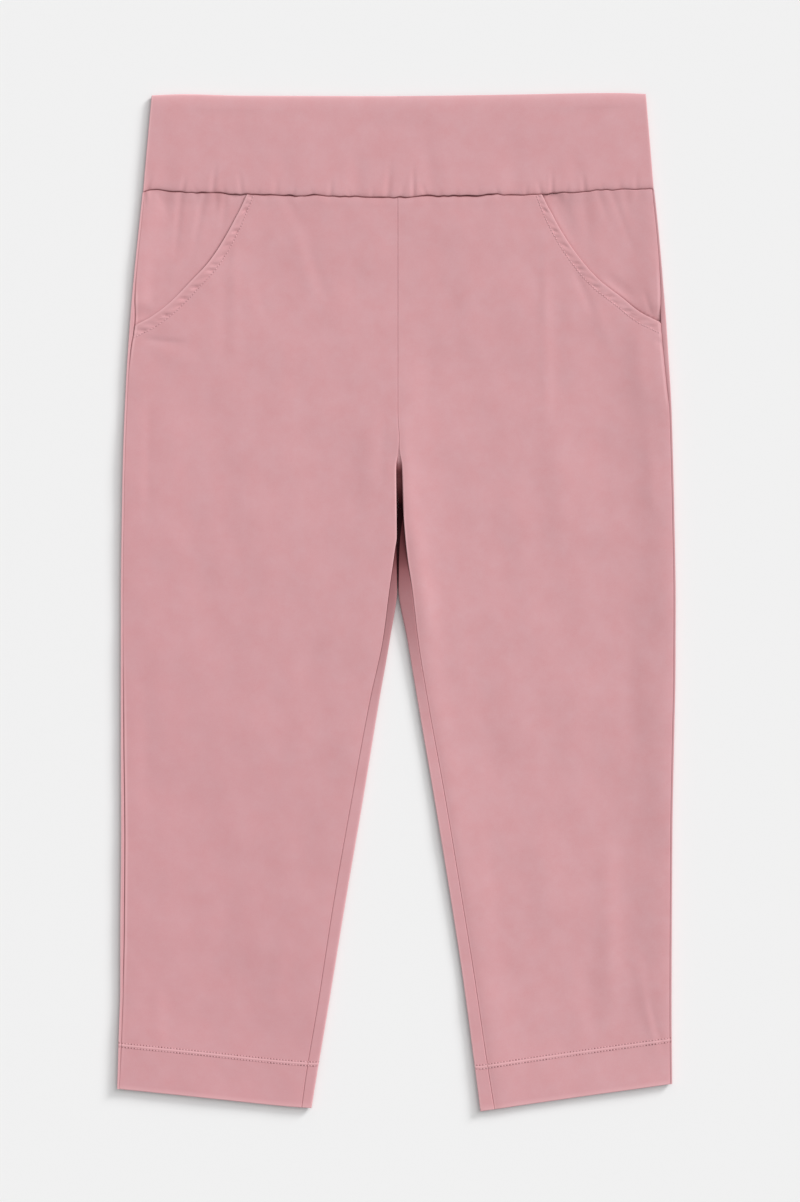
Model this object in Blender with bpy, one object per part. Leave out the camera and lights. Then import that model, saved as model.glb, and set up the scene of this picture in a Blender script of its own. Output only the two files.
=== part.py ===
"""Pull-on capri pants laid flat and face up: two fronts, two backs, two pocket facings, a waistband.

+Z is up, +Y runs from the hems to the waist and +X is the wearer's left. The origin is at the middle of
the garment's outline, on the surface that it lies on. Sizes are in millimetres until a mesh is made.

A leg is worked out section by section. In a section, `across` is the distance outward from the centre
seam and `z` the height, and the wall is a path of such points with a second path inside it.
"""
from collections import namedtuple
import math

import bmesh
import bpy
import numpy as np

MM = 0.001                # metres in a millimetre

# ---- Cloth and seams (mm)
CLOTH = 1.2               # one layer of twill
BAND_CLOTH = 2.4          # the waistband is cut double
HEM_EXTRA = 0.6           # the second layer, turned up inside the hem
SEAM_BULK = 0.36          # seam allowances inside, as a share of how far a wall stands up
SEAM_GAP = 0.3            # pieces stand this far apart where they are sewn together
LAYER_GAP = 0.3           # and where they lie on each other
SHARP_EDGE = math.radians(50)

# ---- Whole garment (mm)
CENTRE_SEAM_X = 1.1
WAIST_Y = 350.0           # nominal height of the waist seam
HEM_Y = -434.0            # nominal height of the hem edge
HEM_DEPTH = 38.0
WAIST_EASE = 45.0         # the waist seam's wave dies out this far below it
HEM_EASE = (-300.0, -385.0)   # the hem's slant comes in between these heights

# Side of each leg: the fold is the outline, and the side seam lies `strip` inside it.
SideRow = namedtuple("SideRow", "y fold strip")
SIDE_ROWS = {
    "right": (
        SideRow(353, 218.9, 1.8),
        SideRow(311, 223.5, 1.8),
        SideRow(270, 227.6, 2.1),
        SideRow(237, 230.4, 4.2),
        SideRow(216, 231.8, 2.4),
        SideRow(187, 233.6, 1.8),
        SideRow(132, 235.8, 1.8),
        SideRow(77, 237.0, 1.8),
        SideRow(0, 237.9, 1.8),
        SideRow(-115, 237.9, 2.5),
        SideRow(-200, 237.7, 3.2),
        SideRow(-280, 238.4, 3.4),
        SideRow(-340, 238.5, 2.6),
        SideRow(-385, 239.6, 2.6),
        SideRow(-434, 241.0, 1.8),
    ),
    "left": (
        SideRow(353, 219.8, 1.8),
        SideRow(311, 224.7, 1.8),
        SideRow(270, 228.2, 2.6),
        SideRow(240, 230.6, 4.7),
        SideRow(216, 232.1, 4.2),
        SideRow(187, 233.9, 3.2),
        SideRow(160, 235.2, 1.8),
        SideRow(77, 237.4, 1.8),
        SideRow(0, 238.6, 1.8),
        SideRow(-60, 238.4, 1.8),
        SideRow(-115, 237.3, 1.8),
        SideRow(-198, 235.8, 1.8),
        SideRow(-363, 235.1, 1.8),
        SideRow(-434, 235.6, 1.8),
    ),
}

# Inner side of each leg: the front's edge along the centre seam, crotch slit and inseam, and the fold.
InnerRow = namedtuple("InnerRow", "y front_edge fold")
CENTRE_EDGE = SEAM_GAP / 2
INNER_ROWS = {
    "right": (
        InnerRow(353, CENTRE_EDGE, CENTRE_EDGE),
        InnerRow(127, CENTRE_EDGE, CENTRE_EDGE),
        InnerRow(118, 1.4, CENTRE_EDGE),
        InnerRow(75, 1.0, CENTRE_EDGE),
        InnerRow(55, 0.9, CENTRE_EDGE),
        InnerRow(35, 3.2, CENTRE_EDGE),
        InnerRow(12, 6.4, CENTRE_EDGE),
        InnerRow(-33, 12.9, 6.9),
        InnerRow(-84, 23.9, 15.8),
        InnerRow(-170, 39.8, 29.9),
        InnerRow(-256, 54.9, 44.6),
        InnerRow(-342, 68.2, 58.7),
        InnerRow(-404, 78.6, 69.2),
        InnerRow(-434, 82.7, 74.1),
    ),
    "left": (
        InnerRow(353, CENTRE_EDGE, CENTRE_EDGE),
        InnerRow(127, CENTRE_EDGE, CENTRE_EDGE),
        InnerRow(118, 3.3, CENTRE_EDGE),
        InnerRow(75, 4.9, CENTRE_EDGE),
        InnerRow(55, 6.4, CENTRE_EDGE),
        InnerRow(35, 8.6, CENTRE_EDGE),
        InnerRow(12, 12.0, CENTRE_EDGE),
        InnerRow(-33, 17.4, 8.2),
        InnerRow(-84, 25.6, 16.8),
        InnerRow(-170, 41.0, 31.5),
        InnerRow(-256, 55.2, 45.6),
        InnerRow(-342, 69.0, 58.7),
        InnerRow(-404, 78.3, 67.1),
        InnerRow(-434, 83.0, 70.9),
    ),
}

# Height of the top of the cloth: at the inseam or centre seam, over the middle of a leg, at the side.
HeightRow = namedtuple("HeightRow", "y inner middle side")
HEIGHT_ROWS = (
    HeightRow(353, 4.9, 4.9, 4.9),
    HeightRow(330, 3.9, 3.9, 4.4),
    HeightRow(300, 3.4, 3.3, 4.6),
    HeightRow(256, 3.4, 3.0, 5.0),
    HeightRow(216, 3.6, 2.9, 5.0),
    HeightRow(174, 4.6, 2.9, 5.0),
    HeightRow(132, 6.8, 3.0, 5.0),
    HeightRow(100, 8.0, 3.1, 5.0),
    HeightRow(60, 8.0, 3.1, 5.0),
    HeightRow(20, 7.0, 3.0, 5.0),
    HeightRow(-33, 5.6, 2.9, 5.0),
    HeightRow(-100, 4.8, 2.8, 4.8),
    HeightRow(-370, 4.6, 2.8, 4.8),
    HeightRow(-400, 5.0, 4.0, 5.0),
    HeightRow(-434, 5.0, 4.0, 5.0),
)
INNER_ROLL = 30.0         # reach of the raised edge beside the inseam
SIDE_ROLL = 28.0          # reach of the raised edge beside the side seam
BULK_REACH = 4.0          # seam allowances start this far from the edge

# The crotch slit: the fronts' edges turn down into it onto the backs, which meet flat below them. Under
# its lower end the backs turn up round the inner fold, and the inseam climbs to the top of the cloth.
SLIT_TOP = (127.0, 118.0)
SLIT_BOTTOM = 66.0
SLIT_ROLL = 1.6           # round of the edge that turns down
SEAM_CLIMB = (68.0, 48.0)
SEAM_CLIMB_START = 0.3    # share of the way round the inner fold where the climb begins
CLIMB_GAP = 0.6           # the edges stand a little further apart where they turn

# Folds round the edge of a leg
FOLD_MIDDLE = 0.4         # where the fold reaches out furthest, as a share of its height
FOLD_UNDER = 2.4          # how far the round of the fold runs in underneath
LIP_REACH = 10.0          # width of a back's inner edge, where it meets the other back
ROUND_POINTS = 12
HEADING_STEP = 0.02

# Pocket opening, from the waist seam out and down to the side seam
PocketRow = namedtuple("PocketRow", "y across")
POCKET_ROWS = {
    "right": (
        PocketRow(350, 128.5),
        PocketRow(328, 140.2),
        PocketRow(310, 150.8),
        PocketRow(292, 163.0),
        PocketRow(275, 178.9),
        PocketRow(256, 198.2),
        PocketRow(244, 214.3),
        PocketRow(237.4, 226.5),
    ),
    "left": (
        PocketRow(350, 123.7),
        PocketRow(334, 131.8),
        PocketRow(317, 142.3),
        PocketRow(298, 156.4),
        PocketRow(278, 173.9),
        PocketRow(261, 195.0),
        PocketRow(249, 208.7),
        PocketRow(239.9, 226.2),
    ),
}
FACING_LAP = 9.0          # the facing runs on this far under the front, both down and inward
FACING_RISE = 8.0         # the front climbs onto the facing over this width
FACING_Z = CLOTH + LAYER_GAP + CLOTH
OVER_FACING_Z = FACING_Z + CLOTH + 3 * LAYER_GAP
FACING_SIDE_REACH = 10.0
FACING_WAIST_REACH = 8.0
FACING_WAIST_LIFT = 1.8
FACING_STEP = 10.0        # the facing comes up this far clear of the front
FACING_CORNER = (242.0, 258.0)    # the facing's outer edge comes up to the side seam between these

# Waist seam and hem edge, from the wearer's right to left and from the inseam out
EdgeRow = namedtuple("EdgeRow", "at y")
WAIST_SEAM = (
    EdgeRow(-218, 352.6),
    EdgeRow(-160, 351.7),
    EdgeRow(-106, 350.0),
    EdgeRow(-50, 349.2),
    EdgeRow(0, 347.4),
    EdgeRow(28, 350.0),
    EdgeRow(60, 349.2),
    EdgeRow(115, 350.0),
    EdgeRow(160, 352.6),
    EdgeRow(221, 354.3),
)
HEM_EDGE = {
    "right": (EdgeRow(74, -434.6), EdgeRow(92, -433.4), EdgeRow(170, -425.3), EdgeRow(241, -418.0)),
    "left": (EdgeRow(71, -437.4), EdgeRow(79, -436.2), EdgeRow(139, -427.4), EdgeRow(236, -413.7)),
}

# Waistband
BAND_TOP = (
    EdgeRow(-211, 435.2),
    EdgeRow(-183, 436.2),
    EdgeRow(-130, 435.0),
    EdgeRow(0, 434.7),
    EdgeRow(100, 435.9),
    EdgeRow(190, 437.3),
    EdgeRow(215, 436.4),
)
BandSide = namedtuple("BandSide", "bottom top")
BAND_RIGHT = BandSide(-217.8, -210.3)
BAND_LEFT = BandSide(220.9, 214.1)
BAND_HEIGHT = 82.0
BAND_ROUND = 2.0          # round of the fold at the top and of the sides
ROUND_STEPS = (0.1, 0.45, 1.0)    # rows of points across that round, as shares of it
BAND_RISES = (0, 6, 14, 24, 40, 60)
BAND_Z = 2 * BAND_CLOTH + LAYER_GAP

# Soft vertical dimples that run up the band from the waist seam
Pucker = namedtuple("Pucker", "x half_width height depth")
PUCKERS = (
    Pucker(-182, 7, 24, 0.5),
    Pucker(-158, 6, 30, 0.5),
    Pucker(-141, 7, 26, 0.4),
    Pucker(-96, 9, 18, 0.3),
    Pucker(-54, 7, 30, 0.5),
    Pucker(3, 8, 34, 0.5),
    Pucker(17, 7, 40, 0.6),
    Pucker(70, 9, 20, 0.3),
    Pucker(135, 7, 28, 0.5),
    Pucker(162, 7, 24, 0.5),
)

# Sections of the legs: evenly spaced in each stretch, and closest where the form changes most
Stretch = namedtuple("Stretch", "start end steps")
POCKET_BEND_Y = 304.0
SEAT_Y = 215.0
RISE_Y = 138.0
THIGH_Y = 36.0
KNEE_Y = -60.0
CALF_Y = -370.0
HEM_SEAM_Y = HEM_Y + HEM_DEPTH
HEM_SEAM_HALF = 3.0       # the hem's second layer comes in over this much each side of its stitching
SLIT_STRETCHES = (
    Stretch(RISE_Y, 128, 1),
    Stretch(128, 116, 3),
    Stretch(116, SLIT_BOTTOM, 3),
)
BACK_SEAT_STRETCHES = (Stretch(RISE_Y, SLIT_BOTTOM, 2),)
INSEAM_STRETCHES = (
    Stretch(SLIT_BOTTOM, THIGH_Y, 5),
    Stretch(THIGH_Y, KNEE_Y, 4),
    Stretch(KNEE_Y, CALF_Y, 6),
    Stretch(CALF_Y, HEM_SEAM_Y + HEM_SEAM_HALF, 1),
    Stretch(HEM_SEAM_Y + HEM_SEAM_HALF, HEM_SEAM_Y - HEM_SEAM_HALF, 2),
    Stretch(HEM_SEAM_Y - HEM_SEAM_HALF, HEM_Y, 3),
)

# Grid of each wall
FRONT_COLUMNS = 10
HOOK_COLUMNS = 4
FLAT_COLUMNS = 7
ROUND_COLUMNS = 3
FACING_COLUMNS = 8
FRONT_BAND_COLUMNS = 44
BACK_BAND_COLUMNS = 20

# ---- Colour
DUSTY_ROSE = (0.645, 0.342, 0.366)
TWILL_ROUGHNESS = 0.85


def smooth_step(value, start, end):
    """Rise from 0 at `start` to 1 at `end`, level at both."""
    share = min(max((value - start) / (end - start), 0.0), 1.0)
    return share * share * (3.0 - 2.0 * share)


def read(rows, column, at):
    """Read a column of a table at a height or place, along a curve that never overshoots its rows."""
    rows = sorted(rows)
    places = [row[0] for row in rows]
    values = [getattr(row, column) for row in rows]
    at = min(max(at, places[0]), places[-1])
    slopes = [(b - a) / (q - p) for a, b, p, q in zip(values, values[1:], places, places[1:])]
    span = min(max(int(np.searchsorted(places, at)) - 1, 0), len(slopes) - 1)
    width = places[span + 1] - places[span]
    start = even_slope(slopes, span - 1, span)
    end = even_slope(slopes, span, span + 1)
    t = (at - places[span]) / width
    return (
        (2 * t**3 - 3 * t**2 + 1) * values[span]
        + (t**3 - 2 * t**2 + t) * width * start
        + (3 * t**2 - 2 * t**3) * values[span + 1]
        + (t**3 - t**2) * width * end
    )


def even_slope(slopes, before, after):
    """The slope at a row: the harmonic mean of those beside it, or level where they turn."""
    if before < 0:
        return slopes[after]
    if after >= len(slopes):
        return slopes[before]
    if slopes[before] * slopes[after] <= 0:
        return 0.0
    return 2 * slopes[before] * slopes[after] / (slopes[before] + slopes[after])


def side_seam(leg, y):
    return read(SIDE_ROWS[leg], "fold", y) - read(SIDE_ROWS[leg], "strip", y)


def front_edge(leg, y):
    return read(INNER_ROWS[leg], "front_edge", y)


def pocket_bottom(leg):
    return POCKET_ROWS[leg][-1].y


def pocket_edge(leg, y):
    return read(POCKET_ROWS[leg], "across", y)


def front_outer_edge(leg, y):
    """Where a front ends: at the pocket opening, and below that at the side seam."""
    seam = side_seam(leg, y) - SEAM_GAP
    if y <= pocket_bottom(leg):
        return seam
    return min(pocket_edge(leg, y), seam)


def facing_inner_edge(leg, y):
    return pocket_edge(leg, y + FACING_LAP) - FACING_LAP


def slit_depth(y):
    """1 where the fronts' edges turn right down into the crotch slit, 0 where they lie flat."""
    return smooth_step(y, *SLIT_TOP)


def seam_climb(y):
    """Place of the inseam round the inner fold: 0 at the underside, 1 on top of the cloth."""
    return SEAM_CLIMB_START + (1 - SEAM_CLIMB_START) * smooth_step(y, *SEAM_CLIMB)


def hem_layer(y):
    """Extra thickness of the turned-up hem."""
    return HEM_EXTRA * smooth_step(y, HEM_SEAM_Y + HEM_SEAM_HALF, HEM_SEAM_Y - HEM_SEAM_HALF)


def cloth_height(leg, across, y):
    """Height of the top of a front over the surface."""
    middle = read(HEIGHT_ROWS, "middle", y)
    inner = read(HEIGHT_ROWS, "inner", y) - middle
    side = read(HEIGHT_ROWS, "side", y) - middle
    from_inner = (across - front_edge(leg, y)) / INNER_ROLL
    from_side = (side_seam(leg, y) - across) / SIDE_ROLL
    height = middle + inner * math.exp(-from_inner**2) + side * math.exp(-from_side**2)
    return height + max(OVER_FACING_Z - height, 0) * on_facing(leg, across, y)


def on_facing(leg, across, y):
    """1 where a front lies on its pocket facing, 0 clear of it."""
    bottom = pocket_bottom(leg)
    inner = facing_inner_edge(leg, y)
    beside = smooth_step(across, inner - FACING_RISE, inner)
    return beside * smooth_step(y, bottom - 2 * FACING_LAP, bottom - FACING_LAP)


def blend(flat, turned, share):
    return [tuple(a + (b - a) * share for a, b in zip(p, q)) for p, q in zip(flat, turned)]


def arc(centre, radii, start, end, count):
    """Points on an ellipse in a section, its angles in degrees from outward towards up."""
    angles = np.radians(np.linspace(start, end, count + 1))
    return [(centre[0] + radii[0] * math.cos(a), centre[1] + radii[1] * math.sin(a)) for a in angles]


def inset(path, thickness, start=None, end=None):
    """The inner face of a wall: each point moved to the right of the path by its own thickness.

    `start` and `end` are the path's headings at its ends, in degrees from outward towards up.
    """
    points = np.array(path)
    along = np.gradient(points, axis=0)
    along /= np.linalg.norm(along, axis=1)[:, None]
    for index, heading in ((0, start), (-1, end)):
        if heading is not None:
            along[index] = (math.cos(math.radians(heading)), math.sin(math.radians(heading)))
    inward = np.stack([along[:, 1], -along[:, 0]], axis=1)
    return points + inward * np.array(thickness)[:, None]


def front_section(leg, y):
    """A front from its inner edge out to the pocket or side seam."""
    edge = front_edge(leg, y)
    start = edge + SLIT_ROLL
    hook, heading = slit_hook(leg, y) if y >= SLIT_BOTTOM else inseam_hook(leg, y)
    places = np.linspace(start, front_outer_edge(leg, y), FRONT_COLUMNS + 1)
    path = hook + [(a, cloth_height(leg, a, y)) for a in places]
    bulk = [front_bulk(leg, a, z, y, edge) for a, z in path]
    return path, inset(path, bulk, start=heading, end=0)


def slit_hook(leg, y):
    """The front's inner edge, flat along the centre seam and turned straight down in the slit."""
    edge = front_edge(leg, y)
    start = edge + SLIT_ROLL
    top = cloth_height(leg, start, y)
    flat = [(a, top) for a in np.linspace(edge, start, HOOK_COLUMNS + 1)]
    turned = [(edge, CLOTH + LAYER_GAP)]
    turned += arc((start, top - SLIT_ROLL), (SLIT_ROLL, SLIT_ROLL), 180, 90, HOOK_COLUMNS - 1)
    share = slit_depth(y)
    return blend(flat, turned, share)[:-1], 90 * share


def inseam_hook(leg, y):
    """The front's inner edge from the inseam, wherever that lies round the inner fold."""
    climb = seam_climb(y)
    edge = front_edge(leg, y)
    if climb == 1:
        places = np.linspace(edge + SEAM_GAP, edge + SLIT_ROLL, HOOK_COLUMNS + 1)[:-1]
        return [(a, cloth_height(leg, a, y)) for a in places], 0
    around = inner_round(leg, y)
    hook = along(around, climb + CLIMB_GAP / distances(around)[-1], 1, HOOK_COLUMNS)
    return hook, heading_at(around, climb)


def inner_round(leg, y):
    """Path round the inner fold of a leg, from its underside up to the edge of the front."""
    edge = front_edge(leg, y)
    fold = read(INNER_ROWS[leg], "fold", y)
    top = cloth_height(leg, edge, y)
    middle = top * FOLD_MIDDLE
    path = arc((fold + FOLD_UNDER, middle), (FOLD_UNDER, middle), 270, 180, ROUND_POINTS)
    path += arc((edge, middle), (edge - fold, top - middle), 180, 90, ROUND_POINTS)[1:]
    return path


def distances(path):
    """Distance along a path of each of its points."""
    steps = np.linalg.norm(np.diff(np.array(path), axis=0), axis=1)
    return np.concatenate([[0.0], np.cumsum(steps)])


def along(path, start, end, count):
    """Evenly spaced points on a stretch of a path, from one share of its length to another."""
    points = np.array(path)
    travelled = distances(path)
    places = np.linspace(start, end, count) * travelled[-1]
    return [(np.interp(p, travelled, points[:, 0]), np.interp(p, travelled, points[:, 1])) for p in places]


def heading_at(path, share):
    """Heading of a path at a share of its length, in degrees from outward towards up."""
    (a, low), (b, high) = along(path, max(share - HEADING_STEP, 0), min(share + HEADING_STEP, 1), 2)
    return math.degrees(math.atan2(high - low, b - a))


def front_bulk(leg, across, z, y, edge):
    """Thickness of a front: one layer, the hem's second one, and the seam allowances inside."""
    standing = max(z - read(HEIGHT_ROWS, "middle", y), 0)
    clear_of_edge = 1 - math.exp(-((across - edge) / BULK_REACH) ** 2)
    bulk = SEAM_BULK * standing * clear_of_edge
    return CLOTH + hem_layer(y) + bulk * (1 - on_facing(leg, across, y))


def back_section(leg, y):
    """A back from the side seam, round the side fold, flat underneath and up to the inseam."""
    fold = read(SIDE_ROWS[leg], "fold", y)
    strip = read(SIDE_ROWS[leg], "strip", y)
    top = read(HEIGHT_ROWS, "side", y)
    middle = top * FOLD_MIDDLE
    path = arc((fold - strip, middle), (strip, top - middle), 90, 0, ROUND_COLUMNS)
    path += arc((fold - FOLD_UNDER, middle), (FOLD_UNDER, middle), 0, -90, ROUND_COLUMNS)[1:]
    lip, heading = back_lip(leg, y)
    flat = np.linspace(fold - FOLD_UNDER, lip[0][0], FLAT_COLUMNS + 1)[1:-1]
    path += [(a, 0.0) for a in flat]
    path += lip
    thickness = np.full(len(path), CLOTH)
    first_flat = 2 * ROUND_COLUMNS + 1
    thickness[first_flat:first_flat + FLAT_COLUMNS - 1] += hem_layer(y)
    return path, inset(path, thickness, start=0, end=heading)


def back_lip(leg, y):
    """The inner edge of a back: flat to the centre seam, or round the inner fold to the inseam."""
    count = 2 * ROUND_COLUMNS + 2
    if y >= SLIT_BOTTOM:
        reach = np.linspace(LIP_REACH, CENTRE_EDGE, count)
        return [(a, 0.0) for a in reach], 180
    around = inner_round(leg, y)
    climb = seam_climb(y)
    if climb == 1:
        return along(around, 0, 1, count), 0
    return along(around, 0, climb, count), heading_at(around, climb)


def facing_section(leg, y):
    """A pocket facing from under the front out to the side seam."""
    outer = side_seam(leg, y) - SEAM_GAP
    inner = facing_inner_edge(leg, y)
    path = [(a, facing_height(leg, a, y)) for a in np.linspace(inner, outer, FACING_COLUMNS + 1)]
    return path, inset(path, np.full(len(path), CLOTH))


def facing_height(leg, across, y):
    side = read(HEIGHT_ROWS, "side", y) - FACING_Z
    from_side = (side_seam(leg, y) - across) / FACING_SIDE_REACH
    at_side = side * math.exp(-from_side**2) * smooth_step(y, *FACING_CORNER)
    opening = pocket_edge(leg, y)
    showing = smooth_step(across, opening + FACING_STEP, opening + 2 * FACING_STEP)
    at_waist = FACING_WAIST_LIFT * math.exp(-(WAIST_Y - y) / FACING_WAIST_REACH) * showing
    return FACING_Z + max(at_side, at_waist)


def place(leg, section, y):
    """Put the points of a section in the garment, where the waist seam waves and the hem slants."""
    turn = 1 if leg == "left" else -1
    waist_share = smooth_step(y, WAIST_Y - WAIST_EASE, WAIST_Y)
    hem_share = smooth_step(y, *HEM_EASE)
    row = []
    for across, z in section:
        x = CENTRE_SEAM_X + turn * across
        shift = waist_share * (read(WAIST_SEAM, "y", x) - WAIST_Y)
        shift += hem_share * (read(HEM_EDGE[leg], "y", across) - HEM_Y)
        row.append((x, y + shift, z))
    return row


def pocket_stretches(leg):
    top = WAIST_Y - SEAM_GAP / 2
    return Stretch(top, POCKET_BEND_Y, 3), Stretch(POCKET_BEND_Y, pocket_bottom(leg), 8)


def seat_stretches(leg):
    return Stretch(pocket_bottom(leg), SEAT_Y, 2), Stretch(SEAT_Y, RISE_Y, 3)


def stations(stretches):
    """Heights of the sections along a run of stretches that follow on from each other."""
    heights = [stretches[0].start]
    for stretch in stretches:
        heights.extend(np.linspace(stretch.start, stretch.end, stretch.steps + 1)[1:])
    return heights


def wall(name, outer, inner):
    """A closed solid between two grids of points, in millimetres, joined round their borders."""
    mesh = bpy.data.meshes.new(name)
    model = bmesh.new()
    grids = [[[model.verts.new(np.array(p) * MM) for p in row] for row in g] for g in (outer, inner)]
    rows = len(outer)
    columns = len(outer[0])
    for grid in grids:
        for i in range(rows - 1):
            for j in range(columns - 1):
                model.faces.new((grid[i][j], grid[i][j + 1], grid[i + 1][j + 1], grid[i + 1][j]))
    border = [(0, j) for j in range(columns)]
    border += [(i, columns - 1) for i in range(1, rows)]
    border += [(rows - 1, j) for j in range(columns - 2, -1, -1)]
    border += [(i, 0) for i in range(rows - 2, 0, -1)]
    for (i, j), (k, m) in zip(border, border[1:] + border[:1]):
        model.faces.new((grids[0][i][j], grids[0][k][m], grids[1][k][m], grids[1][i][j]))
    bmesh.ops.recalc_face_normals(model, faces=model.faces)
    model.to_mesh(mesh)
    model.free()
    mesh.shade_smooth()
    mesh.set_sharp_from_angle(angle=SHARP_EDGE)
    piece = bpy.data.objects.new(name, mesh)
    bpy.context.collection.objects.link(piece)
    return piece


def leg_piece(name, leg, section, heights):
    """One cut piece of a leg, from its sections at the given heights."""
    outer = []
    inner = []
    for y in heights:
        outside, inside = section(leg, y)
        outer.append(place(leg, outside, y))
        inner.append(place(leg, inside, y))
    return wall(name, outer, inner)


def front_leg(leg):
    heights = stations(pocket_stretches(leg) + seat_stretches(leg) + SLIT_STRETCHES + INSEAM_STRETCHES)
    return leg_piece(f"front_leg_{leg}", leg, front_section, heights)


def back_leg(leg):
    heights = stations(pocket_stretches(leg) + seat_stretches(leg) + BACK_SEAT_STRETCHES + INSEAM_STRETCHES)
    return leg_piece(f"back_leg_{leg}", leg, back_section, heights)


def pocket_facing(leg):
    corner = pocket_bottom(leg)
    heights = stations(pocket_stretches(leg) + (Stretch(corner, corner - FACING_LAP, 2),))
    return leg_piece(f"pocket_facing_{leg}", leg, facing_section, heights)


def rounding(distance):
    """How far a rounded edge has dropped, at a distance in from it."""
    inward = max(BAND_ROUND - distance, 0.0)
    return BAND_ROUND - math.sqrt(BAND_ROUND**2 - inward**2)


def pucker_depth(x, rise):
    """Depth of the dimples at a place on the band, `rise` above the waist seam."""
    return sum(
        p.depth * math.exp(-((x - p.x) / p.half_width) ** 2) * (1 - smooth_step(rise, 0, p.height))
        for p in PUCKERS
    )


def band_places(steps):
    """Shares of the way across the band, even between its ends and close together at them."""
    width = BAND_LEFT.bottom - BAND_RIGHT.bottom
    ends = [BAND_ROUND * step / width for step in ROUND_STEPS]
    middle = np.linspace(ends[-1], 1 - ends[-1], steps + 1)[1:-1]
    return ends + list(middle) + [1 - end for end in reversed(ends)]


def band_point(share, rise, fold_step):
    """Plan position of a point on the band: a rise over the waist seam, or a step in from the fold.

    Also gives its distance from the nearest rounded edge, and its rise.
    """
    nominal_rise = BAND_HEIGHT if rise is None else rise
    taper = nominal_rise / BAND_HEIGHT
    right = BAND_RIGHT.bottom + (BAND_RIGHT.top - BAND_RIGHT.bottom) * taper
    left = BAND_LEFT.bottom + (BAND_LEFT.top - BAND_LEFT.bottom) * taper
    x = right + (left - right) * share
    bottom = read(WAIST_SEAM, "y", x) + SEAM_GAP / 2
    top = read(BAND_TOP, "y", x)
    y = top - BAND_ROUND * fold_step if rise is None else bottom + rise
    first = BAND_ROUND * ROUND_STEPS[0]
    from_edge = min(top - y + first, x - right + first, left - x + first)
    return x, y, from_edge, y - bottom


def waistband(name, flat_z, round_z, steps, pucker_share):
    """One side of the band: flat on one face, its other face rounded off at the top and the ends."""
    outward = 1 if round_z > flat_z else -1
    rows = [(rise, 0) for rise in BAND_RISES] + [(None, step) for step in reversed(ROUND_STEPS)]
    outer = []
    inner = []
    for rise, fold_step in rows:
        points = [band_point(share, rise, fold_step) for share in band_places(steps)]
        drops = [rounding(edge) + pucker_share * pucker_depth(x, up) for x, _, edge, up in points]
        outer.append([(x, y, round_z - outward * drop) for (x, y, _, _), drop in zip(points, drops)])
        inner.append([(x, y, flat_z) for x, y, _, _ in points])
    return wall(name, outer, inner)


def twill(name):
    """Matt dusty-rose stretch twill."""
    material = bpy.data.materials.new(name)
    material.use_nodes = True
    shader = material.node_tree.nodes["Principled BSDF"]
    shader.inputs["Base Color"].default_value = (*DUSTY_ROSE, 1)
    shader.inputs["Roughness"].default_value = TWILL_ROUGHNESS
    shader.inputs["Metallic"].default_value = 0.0
    return material


def main():
    for old in list(bpy.data.objects):
        bpy.data.objects.remove(old)
    garment = bpy.data.objects.new("capri_pants", None)
    bpy.context.collection.objects.link(garment)
    pieces = [
        waistband("waistband_front", BAND_CLOTH + LAYER_GAP, BAND_Z, FRONT_BAND_COLUMNS, pucker_share=1),
        waistband("waistband_back", BAND_CLOTH, 0.0, BACK_BAND_COLUMNS, pucker_share=0),
    ]
    for leg in ("right", "left"):
        pieces += [front_leg(leg), back_leg(leg), pocket_facing(leg)]
    for piece in pieces:
        piece.data.materials.append(twill(f"{piece.name}_twill"))
        piece.parent = garment


main()
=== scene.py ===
"""Pull-on capri pants in dusty-rose stretch twill, laid flat and face up on a pale floor.

+Z is up, +Y runs from the hems to the waist and +X is the wearer's left. Sizes are in millimetres until
a mesh is made. A leg is worked out in sections across it: `across` is the distance outward from the
centre seam, `y` the height in the cut, and a section is a path of points with a second path inside it.
"""
from collections import namedtuple
import math

import bpy
import numpy as np
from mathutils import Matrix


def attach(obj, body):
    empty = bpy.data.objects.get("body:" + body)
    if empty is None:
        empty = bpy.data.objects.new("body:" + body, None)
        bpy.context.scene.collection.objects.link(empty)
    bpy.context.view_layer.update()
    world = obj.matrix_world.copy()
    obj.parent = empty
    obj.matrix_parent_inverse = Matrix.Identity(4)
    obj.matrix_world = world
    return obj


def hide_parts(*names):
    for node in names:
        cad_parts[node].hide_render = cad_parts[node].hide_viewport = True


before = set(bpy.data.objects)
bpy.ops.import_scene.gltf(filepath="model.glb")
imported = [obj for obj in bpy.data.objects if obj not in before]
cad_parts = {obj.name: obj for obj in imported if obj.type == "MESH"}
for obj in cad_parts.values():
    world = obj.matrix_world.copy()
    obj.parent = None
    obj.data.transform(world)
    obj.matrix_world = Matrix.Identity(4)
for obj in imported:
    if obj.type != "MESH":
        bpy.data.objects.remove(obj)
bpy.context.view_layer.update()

MM = 0.001                # metres in a millimetre


def table(kind, *values):
    """Rows with named columns, one for each set of values."""
    return tuple(kind(*row) for row in values)


# ---- Cloth and seams (mm)
CLOTH = 0.6               # one layer of stretch twill
BAND_CLOTH = 2.4          # the waistband: two layers with wide elastic between them
HEM_EXTRA = 0.6           # the hem's second layer, turned up inside
SEAM_GAP = 0.1            # sewn edges stand this far apart
LAYER_GAP = 0.3
CREASE_ANGLE = math.radians(60)

# What fades out with distance from a seam or an edge, and the ridges and grooves beside a row of stitches
Fading = namedtuple("Fading", "size reach")
Bump = namedtuple("Bump", "height at half_width")

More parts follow.
